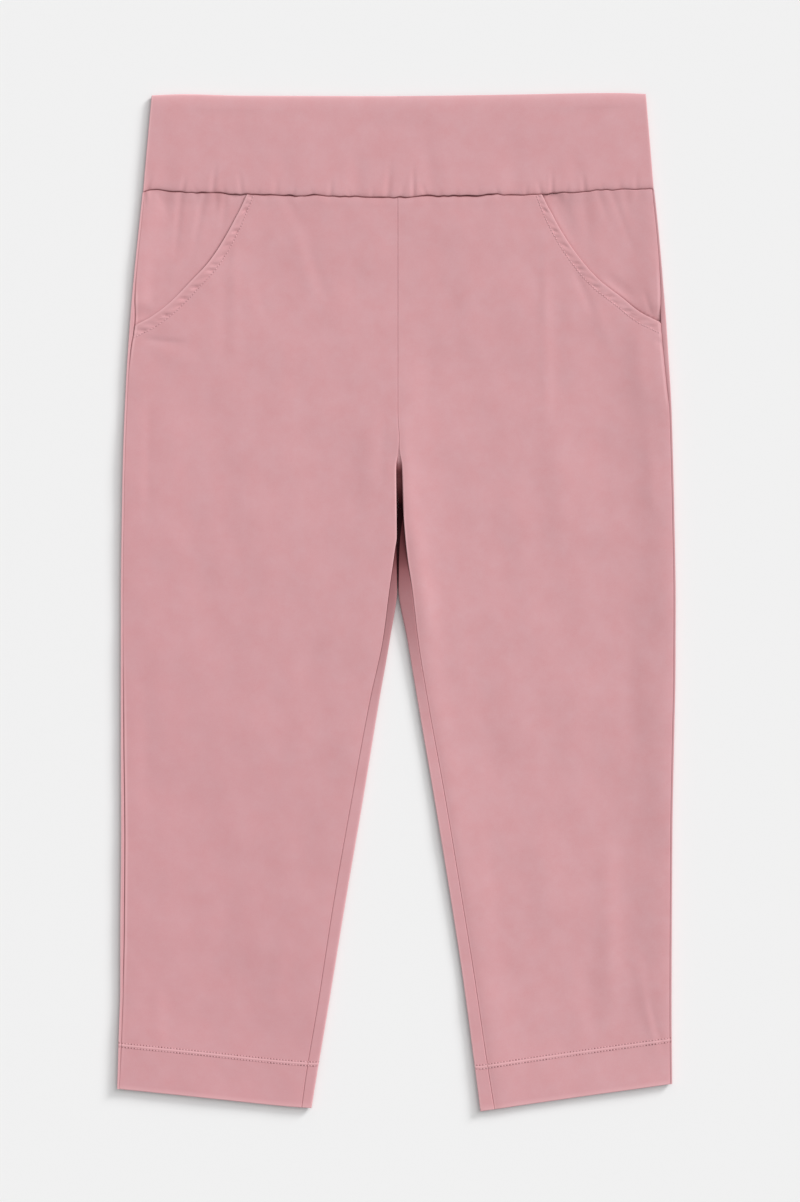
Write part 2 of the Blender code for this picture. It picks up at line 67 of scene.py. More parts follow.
# ---- Whole garment (mm)
CENTRE_SEAM_X = 1.1
OUTWARD = {"right": -1, "left": 1}    # the way that a leg lies from the centre seam
WAIST_Y = 350.0           # nominal height of the waist seam
HEM_Y = -434.0            # nominal height of the hem edge
HEM_DEPTH = 38.0
HEM_SEAM_Y = HEM_Y + HEM_DEPTH
HEM_SEAM_HALF = 3.0       # the second layer ends within this of its seam
WAIST_EASE = 45.0         # the waist seam's wave dies out this far below it
HEM_EASE = (-300.0, -385.0)

# Side of each leg: the fold is the outline, and the side seam lies `strip` inside it.
SideRow = namedtuple("SideRow", "y fold strip")
SIDE_ROWS = {
    "right": table(
        SideRow, (353, 218.9, 1.8), (311, 223.5, 1.8), (270, 227.6, 2.1), (237, 230.4, 4.2),
        (216, 231.8, 2.4), (187, 233.6, 1.8), (132, 235.8, 1.8), (77, 237.0, 1.8), (0, 237.9, 1.8),
        (-115, 237.9, 2.5), (-200, 237.7, 3.2), (-280, 238.4, 3.4), (-340, 238.5, 2.6),
        (-385, 239.6, 2.6), (-434, 241.0, 1.8),
    ),
    "left": table(
        SideRow, (353, 219.8, 1.8), (311, 224.7, 1.8), (270, 228.2, 2.6), (240, 230.6, 4.7),
        (216, 232.1, 4.2), (187, 233.9, 3.2), (160, 235.2, 1.8), (77, 237.4, 1.8), (0, 238.6, 1.8),
        (-60, 238.4, 1.8), (-115, 237.3, 1.8), (-198, 235.8, 1.8), (-363, 235.1, 1.8), (-434, 235.6, 1.8),
    ),
}

# Inner side of each leg: the front's edge along the centre seam, crotch slit and inseam, and the fold.
InnerRow = namedtuple("InnerRow", "y front_edge fold")
CENTRE_EDGE = SEAM_GAP / 2
INNER_ROWS = {
    "right": table(
        InnerRow, (353, CENTRE_EDGE, CENTRE_EDGE), (130, CENTRE_EDGE, CENTRE_EDGE),
        (124, 0.7, CENTRE_EDGE), (118, 1.4, CENTRE_EDGE), (75, 1.0, CENTRE_EDGE), (56, 0.9, CENTRE_EDGE),
        (45, 2.4, CENTRE_EDGE), (34, 3.9, CENTRE_EDGE), (13, 6.9, 0.3), (-33, 12.9, 6.9),
        (-84, 23.9, 15.8), (-170, 39.8, 29.9), (-256, 54.9, 44.6), (-342, 68.2, 58.7), (-404, 78.6, 69.2),
        (-434, 82.7, 74.1),
    ),
    "left": table(
        InnerRow, (353, CENTRE_EDGE, CENTRE_EDGE), (134, CENTRE_EDGE, CENTRE_EDGE),
        (126, 1.7, CENTRE_EDGE), (118, 3.3, CENTRE_EDGE), (75, 4.9, CENTRE_EDGE), (53, 6.6, CENTRE_EDGE),
        (36, 8.5, CENTRE_EDGE), (13, 12.0, 0.3), (-33, 17.4, 8.2), (-84, 25.6, 16.8), (-170, 41.0, 31.5),
        (-256, 55.2, 45.6), (-342, 69.0, 58.7), (-404, 78.3, 67.1), (-434, 83.0, 70.9),
    ),
}

# Height of the top of the cloth: at the inseam or centre seam, over the middle of a leg, at the side.
# The wearer's right leg lies flatter than the left one, which is pushed up towards both its edges.
HeightRow = namedtuple("HeightRow", "y inner middle side")
HEIGHT_ROWS = {
    "right": table(
        HeightRow, (353, 4.9, 4.9, 4.9), (330, 4.5, 4.5, 4.6), (300, 4.1, 4.1, 4.7), (256, 3.8, 3.8, 5.0),
        (216, 3.8, 3.6, 5.0), (174, 4.2, 3.6, 5.0), (132, 5.0, 3.7, 5.0), (100, 5.6, 3.8, 5.0),
        (60, 5.8, 3.8, 5.0), (20, 5.6, 3.8, 5.0), (-33, 5.3, 3.8, 5.0), (-100, 5.0, 3.8, 5.0),
        (-370, 5.0, 4.0, 5.2), (-400, 5.4, 4.6, 5.6), (-434, 5.6, 5.4, 5.8),
    ),
    "left": table(
        HeightRow, (353, 4.9, 4.9, 4.9), (330, 4.5, 4.5, 4.6), (300, 4.1, 4.0, 4.8), (256, 3.8, 3.5, 4.6),
        (216, 3.7, 3.2, 5.2), (174, 3.9, 3.0, 6.0), (132, 4.8, 3.0, 6.2), (100, 5.4, 3.0, 6.2),
        (60, 5.6, 3.0, 6.2), (20, 5.5, 3.0, 6.2), (-33, 5.1, 3.0, 6.2), (-100, 4.8, 3.0, 6.2),
        (-370, 4.7, 3.4, 6.0), (-400, 5.4, 4.2, 5.8), (-434, 5.6, 5.2, 5.8),
    ),
}
Reach = namedtuple("Reach", "inner side")
ROLL_REACH = {"right": Reach(36.0, 44.0), "left": Reach(22.0, 27.0)}
SLIT_MIDDLE_Y = 100.0     # above this the inner roll keeps its place beside the slit

# The centre seam leans to the wearer's left just over the slit.
Lean = namedtuple("Lean", "y half_height shift reach")
SEAM_LEAN = Lean(140.0, 12.0, 1.3, 14.0)

# Crotch slit: how far its floor lies below the top of the cloth, and how much shade the fold holds.
FloorRow = namedtuple("FloorRow", "y drop shade")
SLIT_FLOOR = table(
    FloorRow, (353, 0.7, 0.0), (127, 0.7, 0.0), (122, 1.3, 0.5), (117, 2.2, 0.85), (109, 3.2, 0.85),
    (103, 4.0, 0.83), (100.5, 5.2, 0.84), (92, 5.8, 0.92), (85, 6.4, 0.96), (-434, 6.4, 1.0),
)
FLOOR_MIN_Z = 1.5
SHADE_DEPTH = (0.4, 3.0)  # the shade comes in between these depths below the edge

# Shade on the strips of the backs that turn up between the legs, from the slit down to where it ends,
# and how far out on each leg it is darkest
ShadeRow = namedtuple("ShadeRow", "y shade right left")
STRIP_SHADE = table(
    ShadeRow, (353, 1.0, 2.0, 5.0), (80, 1.0, 2.0, 5.0), (66, 0.9, 2.0, 3.2), (53, 0.88, 1.4, 1.8),
    (36, 0.82, 0.9, 0.9), (14, 0.61, 0.4, 0.4), (0, 0.5, 0.0, 0.0), (-30, 0.35, 0.0, 0.0),
    (-60, 0.2, 0.0, 0.0), (-140, 0.0, 0.0, 0.0), (-434, 0.0, 0.0, 0.0),
)
STRIP_SHADE_SOFT = 1.1
STRIP_SHADE_RISE = (0.2, 1.2)    # none of it shows on the underside
SEAM_ROUND = 0.6          # round of an edge that is turned in at a seam
SEAM_DROP = 1.2           # and how far down it can be seen
CENTRE_ROUND = 0.4
SLIT_ROUND = 1.2
SLIT_OPEN = (127.0, 112.0)
# Below the slit the backs turn up, at first this far below the fronts
DropRow = namedtuple("DropRow", "y drop")
STRIP_DROP = table(
    DropRow, (353, 5.6), (94, 5.4), (84, 4.8), (74, 3.6), (60, 2.4), (45, 1.4), (30, 0.7), (13, 0.2),
    (0, 0.0), (-434, 0.0),
)
# and the seam climbs round the fold to lie on top
SLIT_TO_FOLD = (94.0, 84.0)
SEAM_CLIMB = (88.0, 74.0)
SEAM_CLIMB_START = 0.3
APART = 0.01              # points of an edge stay at least this far apart
FOLD_TO_SEAM = (79.0, 72.0)
# A front dips towards its inseam and its side seam, and the strip beside a side seam towards that seam
INSEAM_DIP = {"right": Fading(0.2, 4.2), "left": Fading(0.8, 4.2)}
INSEAM_DIP_STARTS = (79.0, -79.0)
SIDE_DIP = {"right": Fading(0.0, 5.0), "left": Fading(0.4, 5.0)}
STRIP_DIP = Fading(0.45, 1.0)
SIDE_SEAM_SHADE = {"right": 0.45, "left": 0.08}
STRIP_SHOWS = (1.75, 2.6)  # a side seam shows where the strip beside it is wider than this
SEAM_DEPTH = {"right": 1.0, "left": 0.65}   # there it is this much of a full seam's depth
SEAM_HIDDEN = 0.35        # and elsewhere is only this much as deep
HOOK_REACH = 1.6          # the first part of a front, beside its inner edge, is worked out on its own

# Folds round the edge of a leg
FOLD_MIDDLE = 0.72
FOLD_UNDER = 5.0
FOLD_SHADE = 0.7          # shade under the edge of a leg, where its fold turns in to the floor
FOLD_SHADE_SPAN = (0.5, 0.85)    # it comes in between these shares of the height of the fold's middle
UNDERSIDE_Z = (0.05, 0.5)        # and is gone on the underside
FOLD_HIDES = (-0.3, 0.5)         # a front's edge turns into the fold's shade over this distance
WEAR_AND_HIGHLIGHT_MIN_Z = 0.1                 # neither worn pale nor painted highlight below this height
SLIT_FOLD_UNDER = 1.2
SLIT_FOLD_ENDS = (40.0, -40.0)
FOLD_SQUARENESS = 0.22    # 1 for a round fold, towards 0 for one that stays flat up to a tight bend
ROUNDER_FOLD = (-120.0, 20.0)    # an inner fold grows rounder between these heights
ROUNDER = {"right": 0.55, "left": 0.3}
LIP_REACH = 10.0          # the last part of a back, beside its inner edge, is worked out on its own
BACK_SEAM_DEPTH = 0.6     # the back's centre seam underneath, of a full seam's depth

# Pocket opening, from the waist seam out and down to the side seam
PocketRow = namedtuple("PocketRow", "y across shade")
POCKET_ROWS = {
    "right": table(
        PocketRow, (350, 129.4, 0.04), (328, 140.4, 0.1), (310, 150.3, 0.24), (292, 162.4, 0.24),
        (275, 178.3, 0.14), (256, 197.2, 0.0), (244, 213.5, 0.12), (237.4, 226.5, 0.3),
    ),
    "left": table(
        PocketRow, (350, 123.7, 0.3), (334, 131.6, 0.24), (317, 141.3, 0.24), (298, 154.3, 0.1),
        (278, 171.6, 0.2), (261, 193.2, 0.44), (249, 208.2, 0.55), (239.9, 226.2, 0.4),
    ),
}
POCKET_SHADE_REACH = (0.3, 2.0)  # the facing holds this shade beside the opening
POCKET_LINE_RUN_ON = 25.0
POCKET_LINE_POINTS = 50
POCKET_ZONE_Y = 205.0     # the pocket's sewing changes nothing below this
POCKET_HEM = {"right": 9.4, "left": 8.6}    # from the opening to its row of stitches
POCKET_HEM_NARROWS = Fading(4.0, 36.0)      # less this beside the waist seam
POCKET_CROWN = 0.14       # the turned edge stands up this much between the opening and the stitches
POCKET_NEEDLE = 0.25      # its needle holes' painted shade is this much smaller than the hem's
POCKET_GROOVE = Bump(0.12, 0.0, 0.8)
LIP_ROUND = 0.4
LIP_CURL = {"right": Fading(0.5, 2.4), "left": Fading(0.12, 2.4)}    # the lip itself curls up this much
LIP_CURL_STARTS = (15, 75)       # and starts to do so this far down the opening
# Slanting puckers along the turned edge: they swing to and fro, and some are less deep than others
Roping = namedtuple("Roping", "pitch slant swing slow_pitch uneven uneven_pitch uneven_start right left")
ROPING = Roping(8.4, 0.9, 1.6, 31.0, 0.4, 18.6, 1.0, 1.15, 0.95)
ROPING_STARTS = (0.15, 0.7)      # they come in between these shares of the way to the stitches
ROPING_ENDS = 1.5                # and end this close to them
FACING_LAP = 9.0
FACING_RISE = 20.0
FACING_Z = 2.7
OVER_FACING_Z = {"right": 4.8, "left": 3.3}
FACING_LIFT = {"right": Fading(0.5, 8.0), "left": Fading(-0.5, 8.0)}    # it climbs or dips at the opening
FACING_WAIST_LIFT = Fading(1.8, 10.0)
FACING_SIDE_REACH = 16.0
FACING_STEP = 10.0
FACING_CLEAR = (-2.0, 8.0)       # it has creases of its own once it is clear of the front
FACING_CORNER = (242.0, 258.0)

# Waist seam from the wearer's right to left, and hem edges from the inseam out
EdgeRow = namedtuple("EdgeRow", "at y")
WAIST_SEAM = table(
    EdgeRow, (-220, 351.0), (-215, 353.0), (-210, 354.0), (-201, 353.5), (-187, 352.0), (-160, 351.4),
    (-143, 350.4), (-105, 349.4), (-83, 348.6), (-71, 349.1), (-55, 348.5), (-37, 347.9), (-8, 347.3),
    (8, 347.3), (18, 348.2), (28, 349.0), (40, 348.4), (58, 348.5), (74, 349.3), (86, 350.0), (98, 349.4),
    (110, 349.4), (122, 350.1), (145, 351.6), (160, 352.2), (171, 353.3), (197, 354.3), (222, 354.5),
)
# Smaller waves of the waist seam, where its stitches pull; lengths are for one radian
Wander = namedtuple("Wander", "height length swing slow_length")
WAIST_WANDER = table(Wander, (0.3, 3.7, 2.2, 17.0), (0.22, 1.9, 1.5, 7.0))
HEM_EDGE = {
    "right": table(EdgeRow, (74, -434.6), (92, -433.4), (170, -425.3), (241, -418.0)),
    "left": table(EdgeRow, (71, -437.4), (79, -436.2), (139, -427.4), (236, -413.7)),
}

# Waistband
BAND_TOP = table(
    EdgeRow, (-211, 435.2), (-183, 436.2), (-130, 435.0), (0, 434.7), (100, 435.9), (190, 437.3),
    (215, 436.4),
)
BandSide = namedtuple("BandSide", "bottom top")
BAND_RIGHT = BandSide(-217.8, -210.3)
BAND_LEFT = BandSide(220.9, 214.1)
BAND_HEIGHT = 82.0
BAND_ROUND = 0.6          # round of the fold at the top and of the sides
BAND_UNDER_ROUND = 2.2    # and of the same edges underneath
BAND_SEAM_ROUND = 1.1
BAND_FOLD_SHADE = (0.8, 0.2)     # the back band's edge holds shade within these shares of its round
BAND_Z = 5.1
BAND_SAG = 0.35           # the band dips this much between its fold and its seam
BAND_FOLD_DIP = Fading(1.1, 4.5)    # and this much more at its fold
BAND_SEAM_DIP = Fading(1.1, 2.0)    # and at its seam
BAND_TOP_WEAR_AND_HIGHLIGHT = Fading(0.5, 4.0)    # the top fold is painted this pale: worn pale with painted highlight, as it faces the light

# Dimples where the waist seam gathers the cloth, up the band or down the legs from the seam
Pucker = namedtuple("Pucker", "x half_width height depth lean")
BAND_PUCKERS = table(
    Pucker, (-214, 1.8, 16, 0.75, 0.2), (-199, 8, 54, 0.6, 0.1), (-184, 2, 18, 0.9, 0.2),
    (-172, 2.2, 9, 0.45, -0.2), (-158, 2.4, 30, 0.9, 0.1), (-148, 1.8, 9, 0.52, 0.0),
    (-133, 2.2, 24, 0.68, -0.1), (-119, 1.9, 8, 0.38, 0.1), (-104, 3, 20, 0.6, 0.1),
    (-95, 10, 66, 0.5, -0.1), (-89, 1.9, 12, 0.6, 0.2), (-72, 1.9, 8, 0.45, -0.2),
    (-57, 2.2, 18, 0.75, 0.1), (-34, 8, 64, 0.8, 0.0), (-40, 1.7, 10, 0.45, -0.2),
    (-21, 2.2, 12, 0.52, 0.1), (-8, 3, 38, 0.9, 0.1), (4, 2.2, 16, 0.52, 0.2), (14.5, 1.7, 32, 1.05, 0.0),
    (31, 8, 70, 0.7, -0.1), (25, 1.9, 14, 0.6, -0.3), (37, 1.9, 9, 0.45, 0.1), (52, 2.2, 8, 0.38, -0.1),
    (70, 3, 14, 0.45, 0.1), (87, 2, 9, 0.45, -0.2), (101, 9, 58, 0.6, 0.0), (111, 2.1, 12, 0.68, 0.1),
    (124, 2, 15, 0.75, -0.2), (133.5, 1.7, 24, 0.9, 0.0), (146, 2, 10, 0.52, 0.2),
    (156, 7, 60, 0.5, -0.1), (161.5, 2.1, 20, 0.9, -0.1), (176, 2.2, 10, 0.45, 0.1),
    (192, 3, 13, 0.45, -0.1), (206, 2.2, 18, 0.52, 0.0),
)
# Soft trough under the thick top fold, deepest towards the sides
Crease = namedtuple("Crease", "x y end_x end_y half_width height")
BAND_CREASES = table(
    Crease, (-214, 421, -42, 414, 3.2, -0.3), (112, 417, 214, 424, 3.6, -0.35),
    (-60, 409, 60, 408, 5, -0.16),
)
LEG_PUCKERS = table(
    Pucker, (-216, 1.6, 17, 0.6, 0.0), (-211, 1.8, 11, 0.4, 0.1), (-198, 5, 34, 0.5, -0.1),
    (-185, 3.2, 76, 0.65, -0.1), (-172, 3, 20, 0.5, 0.1), (-165, 3.4, 70, 0.7, -0.2),
    (-155, 2.8, 30, 0.45, 0.0), (-147, 3, 48, 0.55, -0.1), (-112, 4, 10, 0.25, 0.1),
    (-96, 6, 34, 0.3, 0.5), (-82, 3, 8, 0.3, -0.2), (-58, 4, 9, 0.25, 0.2), (-29, 5, 14, 0.25, 0.0),
    (-14, 3, 7, 0.25, 0.1), (14, 3, 10, 0.35, -0.1), (27, 4, 12, 0.25, 0.2), (61, 5, 12, 0.22, 0.0),
    (88, 3, 9, 0.3, 0.1), (108, 4, 11, 0.25, -0.2), (147, 3, 22, 0.36, 0.0), (161, 6, 84, 0.62, 0.1),
    (173, 3, 34, 0.36, 0.3), (184, 3.4, 62, 0.4, 0.4), (197, 3.4, 26, 0.3, 0.1), (208, 4, 15, 0.25, 0.0),
)
BACK_PUCKERS = table(
    Pucker, (-190, 7, 26, 0.24, 0.1), (-148, 5, 34, 0.3, -0.1), (-101, 8, 20, 0.2, 0.0),
    (-66, 5, 29, 0.28, 0.2), (-22, 6, 38, 0.3, -0.1), (9, 4, 16, 0.2, 0.0), (51, 7, 31, 0.28, 0.1),
    (97, 5, 18, 0.2, -0.2), (139, 7, 35, 0.3, 0.0), (183, 5, 22, 0.24, 0.1),
)
PUCKER_SHOULDER = 0.35    # the cloth beside a dimple swells by this share of its depth

# Soft ridges and, where the height is below 0, troughs in the pocket facings and in the legs' fronts
FACING_CREASES = table(
    Crease, (-206, 300, -214, 254, 6, -0.4), (-186, 306, -196, 268, 5, 0.3),
    (-204, 264, -222, 244, 4, -0.5), (176, 284, 208, 258, 5, -0.5), (212, 270, 221, 240, 2.6, -0.3),
)
LEG_CREASES = table(
    Crease,
    # Below the wearer's right pocket, and down that leg
    (-139, 322, -140, 196, 3.6, 0.34), (-147, 300, -150, 190, 5, -0.26),
    (-222, 226, -176, 221, 3.2, -0.55), (-212, 216, -168, 204, 6, 0.3), (-122, 290, -112, 236, 5, -0.22),
    (-92, 330, -70, 258, 6, 0.3), (-78, 316, -58, 250, 5, -0.24), (-98, 262, -96, 140, 10, 0.34),
    (-34, 300, -40, 214, 9, -0.24), (-11, 172, -14, 84, 4, -0.3), (-22, 160, -28, 40, 7, 0.32),
    (-212, 190, -214, 60, 5.5, -0.4), (-196, 196, -188, 70, 9, 0.4), (-150, 150, -142, 20, 12, -0.34),
    (-186, 96, -160, -20, 13, -0.36), (-110, 60, -128, -96, 14, 0.4), (-60, 30, -84, -110, 12, -0.32),
    (-216, -40, -214, -200, 8, -0.36), (-74, -60, -104, -250, 11, 0.34),
    (-200, -130, -190, -300, 12, 0.36), (-140, -230, -160, -352, 11, -0.36),
    (-96, -262, -104, -372, 8, 0.3), (-206, -322, -203, -392, 6, 0.34),
    # Down the wearer's left leg, which is pushed up in longer folds
    (127, 326, 129, 120, 3.8, 0.4), (138, 300, 140, 150, 7, -0.34), (150, 292, 174, 236, 3.6, -0.45),
    (166, 262, 186, 214, 5, 0.3), (54, 300, 66, 196, 10, 0.34), (30, 262, 24, 150, 8, -0.3),
    (204, 250, 213, 150, 9, 0.75), (214, 168, 222, 60, 7, 0.4), (140, 190, 142, 20, 13, 0.62),
    (172, 180, 180, 40, 10, -0.42), (4, 168, 12, 46, 7, 0.75), (9, 96, 33, -52, 8, 1.0),
    (28, 40, 50, -110, 11, -0.4), (96, 120, 120, -70, 13, 0.4), (60, -20, 92, -190, 11, -0.4),
    (158, -20, 150, -170, 13, 0.46), (199, 30, 204, -150, 9, -0.4), (66, -146, 82, -330, 7, 0.28),
    (181, -170, 184, -392, 9.5, 0.75), (160, -300, 172, -392, 8, -0.35), (202, -290, 224, -392, 4.5, 0.4),
    (212, -330, 232, -394, 3.2, -0.25), (120, -180, 134, -330, 12, 0.4), (222, 226, 232, 218, 3, -0.5),
)
# Troughs in the cloth that the garment lies on, which is pressed flat between them
BACK_CREASES = table(
    Crease, (-150, 300, -120, 150, 10, 0.3), (-60, 240, -20, 110, 9, 0.26),
    (-180, 90, -150, -90, 12, 0.3), (-90, 20, -120, -150, 8, 0.24), (-200, -120, -170, -290, 10, 0.3),
    (-110, -200, -140, -350, 7, 0.22), (140, 290, 160, 170, 9, 0.28), (50, 260, 30, 120, 10, 0.26),
    (190, 110, 170, -60, 11, 0.3), (80, 10, 110, -140, 9, 0.26), (140, -90, 180, -260, 12, 0.3),
    (120, -240, 130, -360, 7, 0.22),
)
SEAM_FADES = {"right": 0.7, "left": 0.2}    # a side seam shows this much less where it is pressed
SEAM_FADES_AT = (-290.0, -350.0)            # flat with the hem, coming in between these heights
SEAM_SHADE_REACH = (0.2, 0.9)
# How pale edges are painted on each leg, worn pale mixed with painted highlight that is strongest on edges
# turned away from the light, how far in from the edge and how wide
Wear = namedtuple("Wear", "right left inward half_width")
WEAR_AND_HIGHLIGHT = {
    "side seam": Wear(0.6, 0.6, 1.7, 0.8),
    "slit lip": Wear(0.5, 0.5, SLIT_ROUND / 2, 1.0),
    "pocket": Wear(0.55, 0.3, 0.5, 1.1),
    "hem ridge": Wear(0.5, 0.5, 0.0, 1.3),
    "hem edge": Wear(0.9, 0.9, 0.0, 1.4),
    "side fold": Wear(1.0, 0.4, 0.0, 1.2),
    "inner fold": Wear(0.5, 1.0, 0.0, 1.2),
    "band side": Wear(1.0, 0.4, 0.0, 1.3),
}
# The slit's lips are painted with highlight and worn pale within this depth below the top, fading out
# downward between these heights
SLIT_WEAR_AND_HIGHLIGHT_DEPTH = 0.4
SLIT_WEAR_AND_HIGHLIGHT_ENDS = (0.0, 60.0)
# How hard the waist seam pulls in: where it pulls harder it holds more shade
PullRow = namedtuple("PullRow", "x pull")
WAIST_PULL = table(
    PullRow, (-218, 0.3), (-203, 0.5), (-160, 0.6), (-132, 0.54), (-102, 0.76), (-78, 0.62), (-20, 0.6),
    (20, 0.6), (40, 0.66), (50, 0.82), (62, 0.92), (76, 0.8), (88, 0.6), (112, 0.45), (150, 0.42),
    (200, 0.34), (222, 0.2),
)
# The pull is uneven along the seam, and its unevenness comes and goes
PULL_WANDER = Wander(0.3, 4.7, 2.0, 13.0)
Fade = namedtuple("Fade", "length start")
PULL_FADE = Fade(31.0, 1.0)
CREASE_FADE = 0.35        # a crease fades out over this share of its length at each end

# Slow unevenness of cloth that has been laid and not pressed
Wave = namedtuple("Wave", "length heading start height")
WAVES = table(
    Wave, (17, 35, 4.4, 0.02), (22, 162, 1.6, 0.03), (29, 110, 2.7, 0.04), (37, 12, 0.3, 0.06),
    (46, 77, 1.1, 0.06), (58, 40, 0.9, 0.07), (63, 131, 2.2, 0.08), (85, 95, 3.1, 0.11),
    (97, 155, 4.0, 0.12), (120, 20, 5.1, 0.14), (150, 63, 1.9, 0.18),
)
BAND_WAVE_SHARE = 0.6

# Twin-needle hem: a ridge between two rows of stitches
HEM_ROW = 1.7
HEM_RIDGE = Bump(0.3, 0.0, 1.1)
HEM_GROOVE = Bump(0.08, HEM_ROW, 0.5)
HEM_GROOVE_UNDER = 1.4    # the rows are drawn in this much more underneath
EDGE_ROUND = 0.9          # round of the folded hem edge
WAIST_ROUND = 0.8         # round of a leg's edge where it goes into the waist seam
WAIST_DROP = 1.2
WAIST_SWELL = Bump(0.12, 4.5, 4.0)
WAIST_SHADE = (0.2, 1.0)
WAIST_SHADE_LEAST = 0.4   # how far it reaches where nothing pulls

# ---- Thread
STITCH_PITCH = 2.6
STITCH_LENGTH = 1.9
THREAD_RADIUS = 0.3
THREAD_PROUD = 0.16
THREAD_DIP = 0.3
THREAD_BLUNT = 0.02       # the ends of a stitch are this far from pointed
THREAD_SIDES = 8
THREAD_RINGS = 7
THREAD_AHEAD = 0.5        # a stitch heads for the place this far on
STITCH_MARGIN = 1.5       # stitches keep this far from an edge
UNDER_THREAD_Z = THREAD_RADIUS + 0.05
NO_STITCHES = 99.0        # a distance at which nothing is sewn

# ---- Grid of the pieces: distances (mm) between rows and columns of points
Stretch = namedtuple("Stretch", "end spacing")
EDGE_STEPS = (0.0, 0.03, 0.1, 0.22, 0.4, 0.62, 0.9, 1.25, 1.7, 2.3, 3.0)
HEM_EDGE_STEPS = (1.4, 0.9, 0.6, 0.38, 0.2, 0.08, 0.02, 0.0)
LEG_TOP_Y = WAIST_Y - SEAM_GAP / 2
HEM_END_Y = HEM_Y + HEM_EDGE_STEPS[0]
FRONT_STRETCHES = table(
    Stretch, (338, 1.0), (222, 1.35), (132, 3.6), (40, 1.6), (-388, 4.4), (-404, 0.55), (HEM_END_Y, 3.2),
)
BACK_STRETCHES = table(
    Stretch, (338, 2.0), (132, 4.5), (40, 1.8), (-388, 4.4), (-404, 0.6), (HEM_END_Y, 4.0),
)
HOOK_POINTS = 26
FRONT_INNER_STEPS = (0.5, 1.2, 2.0, 3.0, 4.2, 6.0, 8.5, 11.5, 15.0, 19.0, 24.0)
FRONT_OUTER_STEPS = (
    0.0, 0.04, 0.12, 0.26, 0.45, 0.7, 1.0, 1.4, 1.9, 2.5, 3.2, 4.0, 4.9, 5.8, 6.7, 7.6, 8.5, 9.4, 10.3,
    11.2, 12.1, 13.0, 13.9, 14.8, 15.7, 16.6, 17.5, 18.6, 20.0, 22.0, 25.0, 29.0,
)
FRONT_MIDDLE = 42
SIDE_ROUND_POINTS = 60
INNER_ROUND_POINTS = 40
AROUND_POINTS = 30
SIDE_POINTS = 22
UNDER_POINTS = 10
BACK_FLAT = 26
LIP_POINTS = 44
ROUND_POINTS = 16
FACING_POINTS = 76
BAND_RISES = ((4, 16, 1.0), (16, 44, 2.0), (44, 68, 4.0))    # start, end and spacing
BAND_STEPS = (14.0, -1.2)        # start and spacing, in towards the top fold
BAND_FOLD_POINTS = 10
BAND_END_POINTS = 8
Band = namedtuple("Band", "flat_z round_z radius columns puckers")
FRONT_BAND = Band(BAND_CLOTH + LAYER_GAP, BAND_Z, BAND_ROUND, 300, BAND_PUCKERS)
BACK_BAND = Band(BAND_CLOTH, 0.0, BAND_UNDER_ROUND, 150, BACK_PUCKERS)

# ---- Columns for a piece's cut: its slot, flat size (m) and area (square metres)
Cut = namedtuple("Cut", "slot flat area")


def smooth_step(value, start, end):
    """Rise from 0 at `start` to 1 at `end`, level at both."""
    share = np.clip((value - start) / (end - start), 0.0, 1.0)
    return share * share * (3.0 - 2.0 * share)


def columns(*parts):
    """Lists of numbers side by side, as the columns of one array."""
    return np.stack(parts, axis=1)


def bell(distance, half_width):
    return np.exp(-((distance / half_width) ** 2))


def bump(row, distance):
    """A soft ridge or groove beside a line of sewing."""
    return row.height * bell(distance - row.at, row.half_width)


def fading(row, distance):
    """How much of something is left at a distance from its seam or edge."""
    return row.size * np.exp(-distance / row.reach)


def roll(distance, radius):
    """How far a rounded edge has dropped, at a distance in from it."""
    inward = np.clip(radius - distance, 0.0, radius)
    return radius - np.sqrt(radius**2 - inward**2)


def read(rows, column, at):
    """Read a column of a table at heights or places, along a curve that never overshoots its rows."""
    rows = sorted(rows)
    places = np.array([row[0] for row in rows])
    values = np.array([getattr(row, column) for row in rows])
    slopes = np.diff(values) / np.diff(places)
    product = slopes[:-1] * slopes[1:]
    total = np.where(product > 0, slopes[:-1] + slopes[1:], 1.0)
    even = np.where(product > 0, 2 * product / total, 0.0)
    tangents = np.concatenate([slopes[:1], even, slopes[-1:]])
    at = np.clip(at, places[0], places[-1])
    span = np.clip(np.searchsorted(places, at) - 1, 0, len(slopes) - 1)
    width = places[span + 1] - places[span]
    t = (at - places[span]) / width
    return (
        (2 * t**3 - 3 * t**2 + 1) * values[span]
        + (t**3 - 2 * t**2 + t) * width * tangents[span]
        + (3 * t**2 - 2 * t**3) * values[span + 1]
        + (t**3 - t**2) * width * tangents[span + 1]
    )


def side_seam(leg, y):
    return read(SIDE_ROWS[leg], "fold", y) - read(SIDE_ROWS[leg], "strip", y)


def front_edge(leg, y):
    return read(INNER_ROWS[leg], "front_edge", y)


def pocket_edge(leg, y):
    return read(POCKET_ROWS[leg], "across", y)


def pocket_bottom(leg):
    return POCKET_ROWS[leg][-1].y


def front_outer_edge(leg, y):
    """Where a front ends: at the pocket opening, and below that at the side seam."""
    seam = side_seam(leg, y) - SEAM_GAP / 2
    if y <= pocket_bottom(leg):
        return seam
    return min(pocket_edge(leg, y), seam)


def facing_inner_edge(leg, y):
    return pocket_edge(leg, y + FACING_LAP) - FACING_LAP


def seam_climb(y):
    """Place of the inseam round the inner fold: 0 at the underside, 1 on top of the cloth."""
    return SEAM_CLIMB_START + (1 - SEAM_CLIMB_START) * smooth_step(y, *SEAM_CLIMB)


def wander(wave, x):
    """A wave along the waist whose length keeps changing."""
    return wave.height * np.sin(x / wave.length + wave.swing * np.sin(x / wave.slow_length))


def waist_seam(x):
    """Height of the waist seam, which wanders a little where its stitches pull."""
    return read(WAIST_SEAM, "y", x) + sum(wander(wave, x) for wave in WAIST_WANDER)


def hem_layer(y):
    """Extra thickness of the turned-up hem."""
    return HEM_EXTRA * smooth_step(y, HEM_SEAM_Y + HEM_SEAM_HALF, HEM_SEAM_Y - HEM_SEAM_HALF)


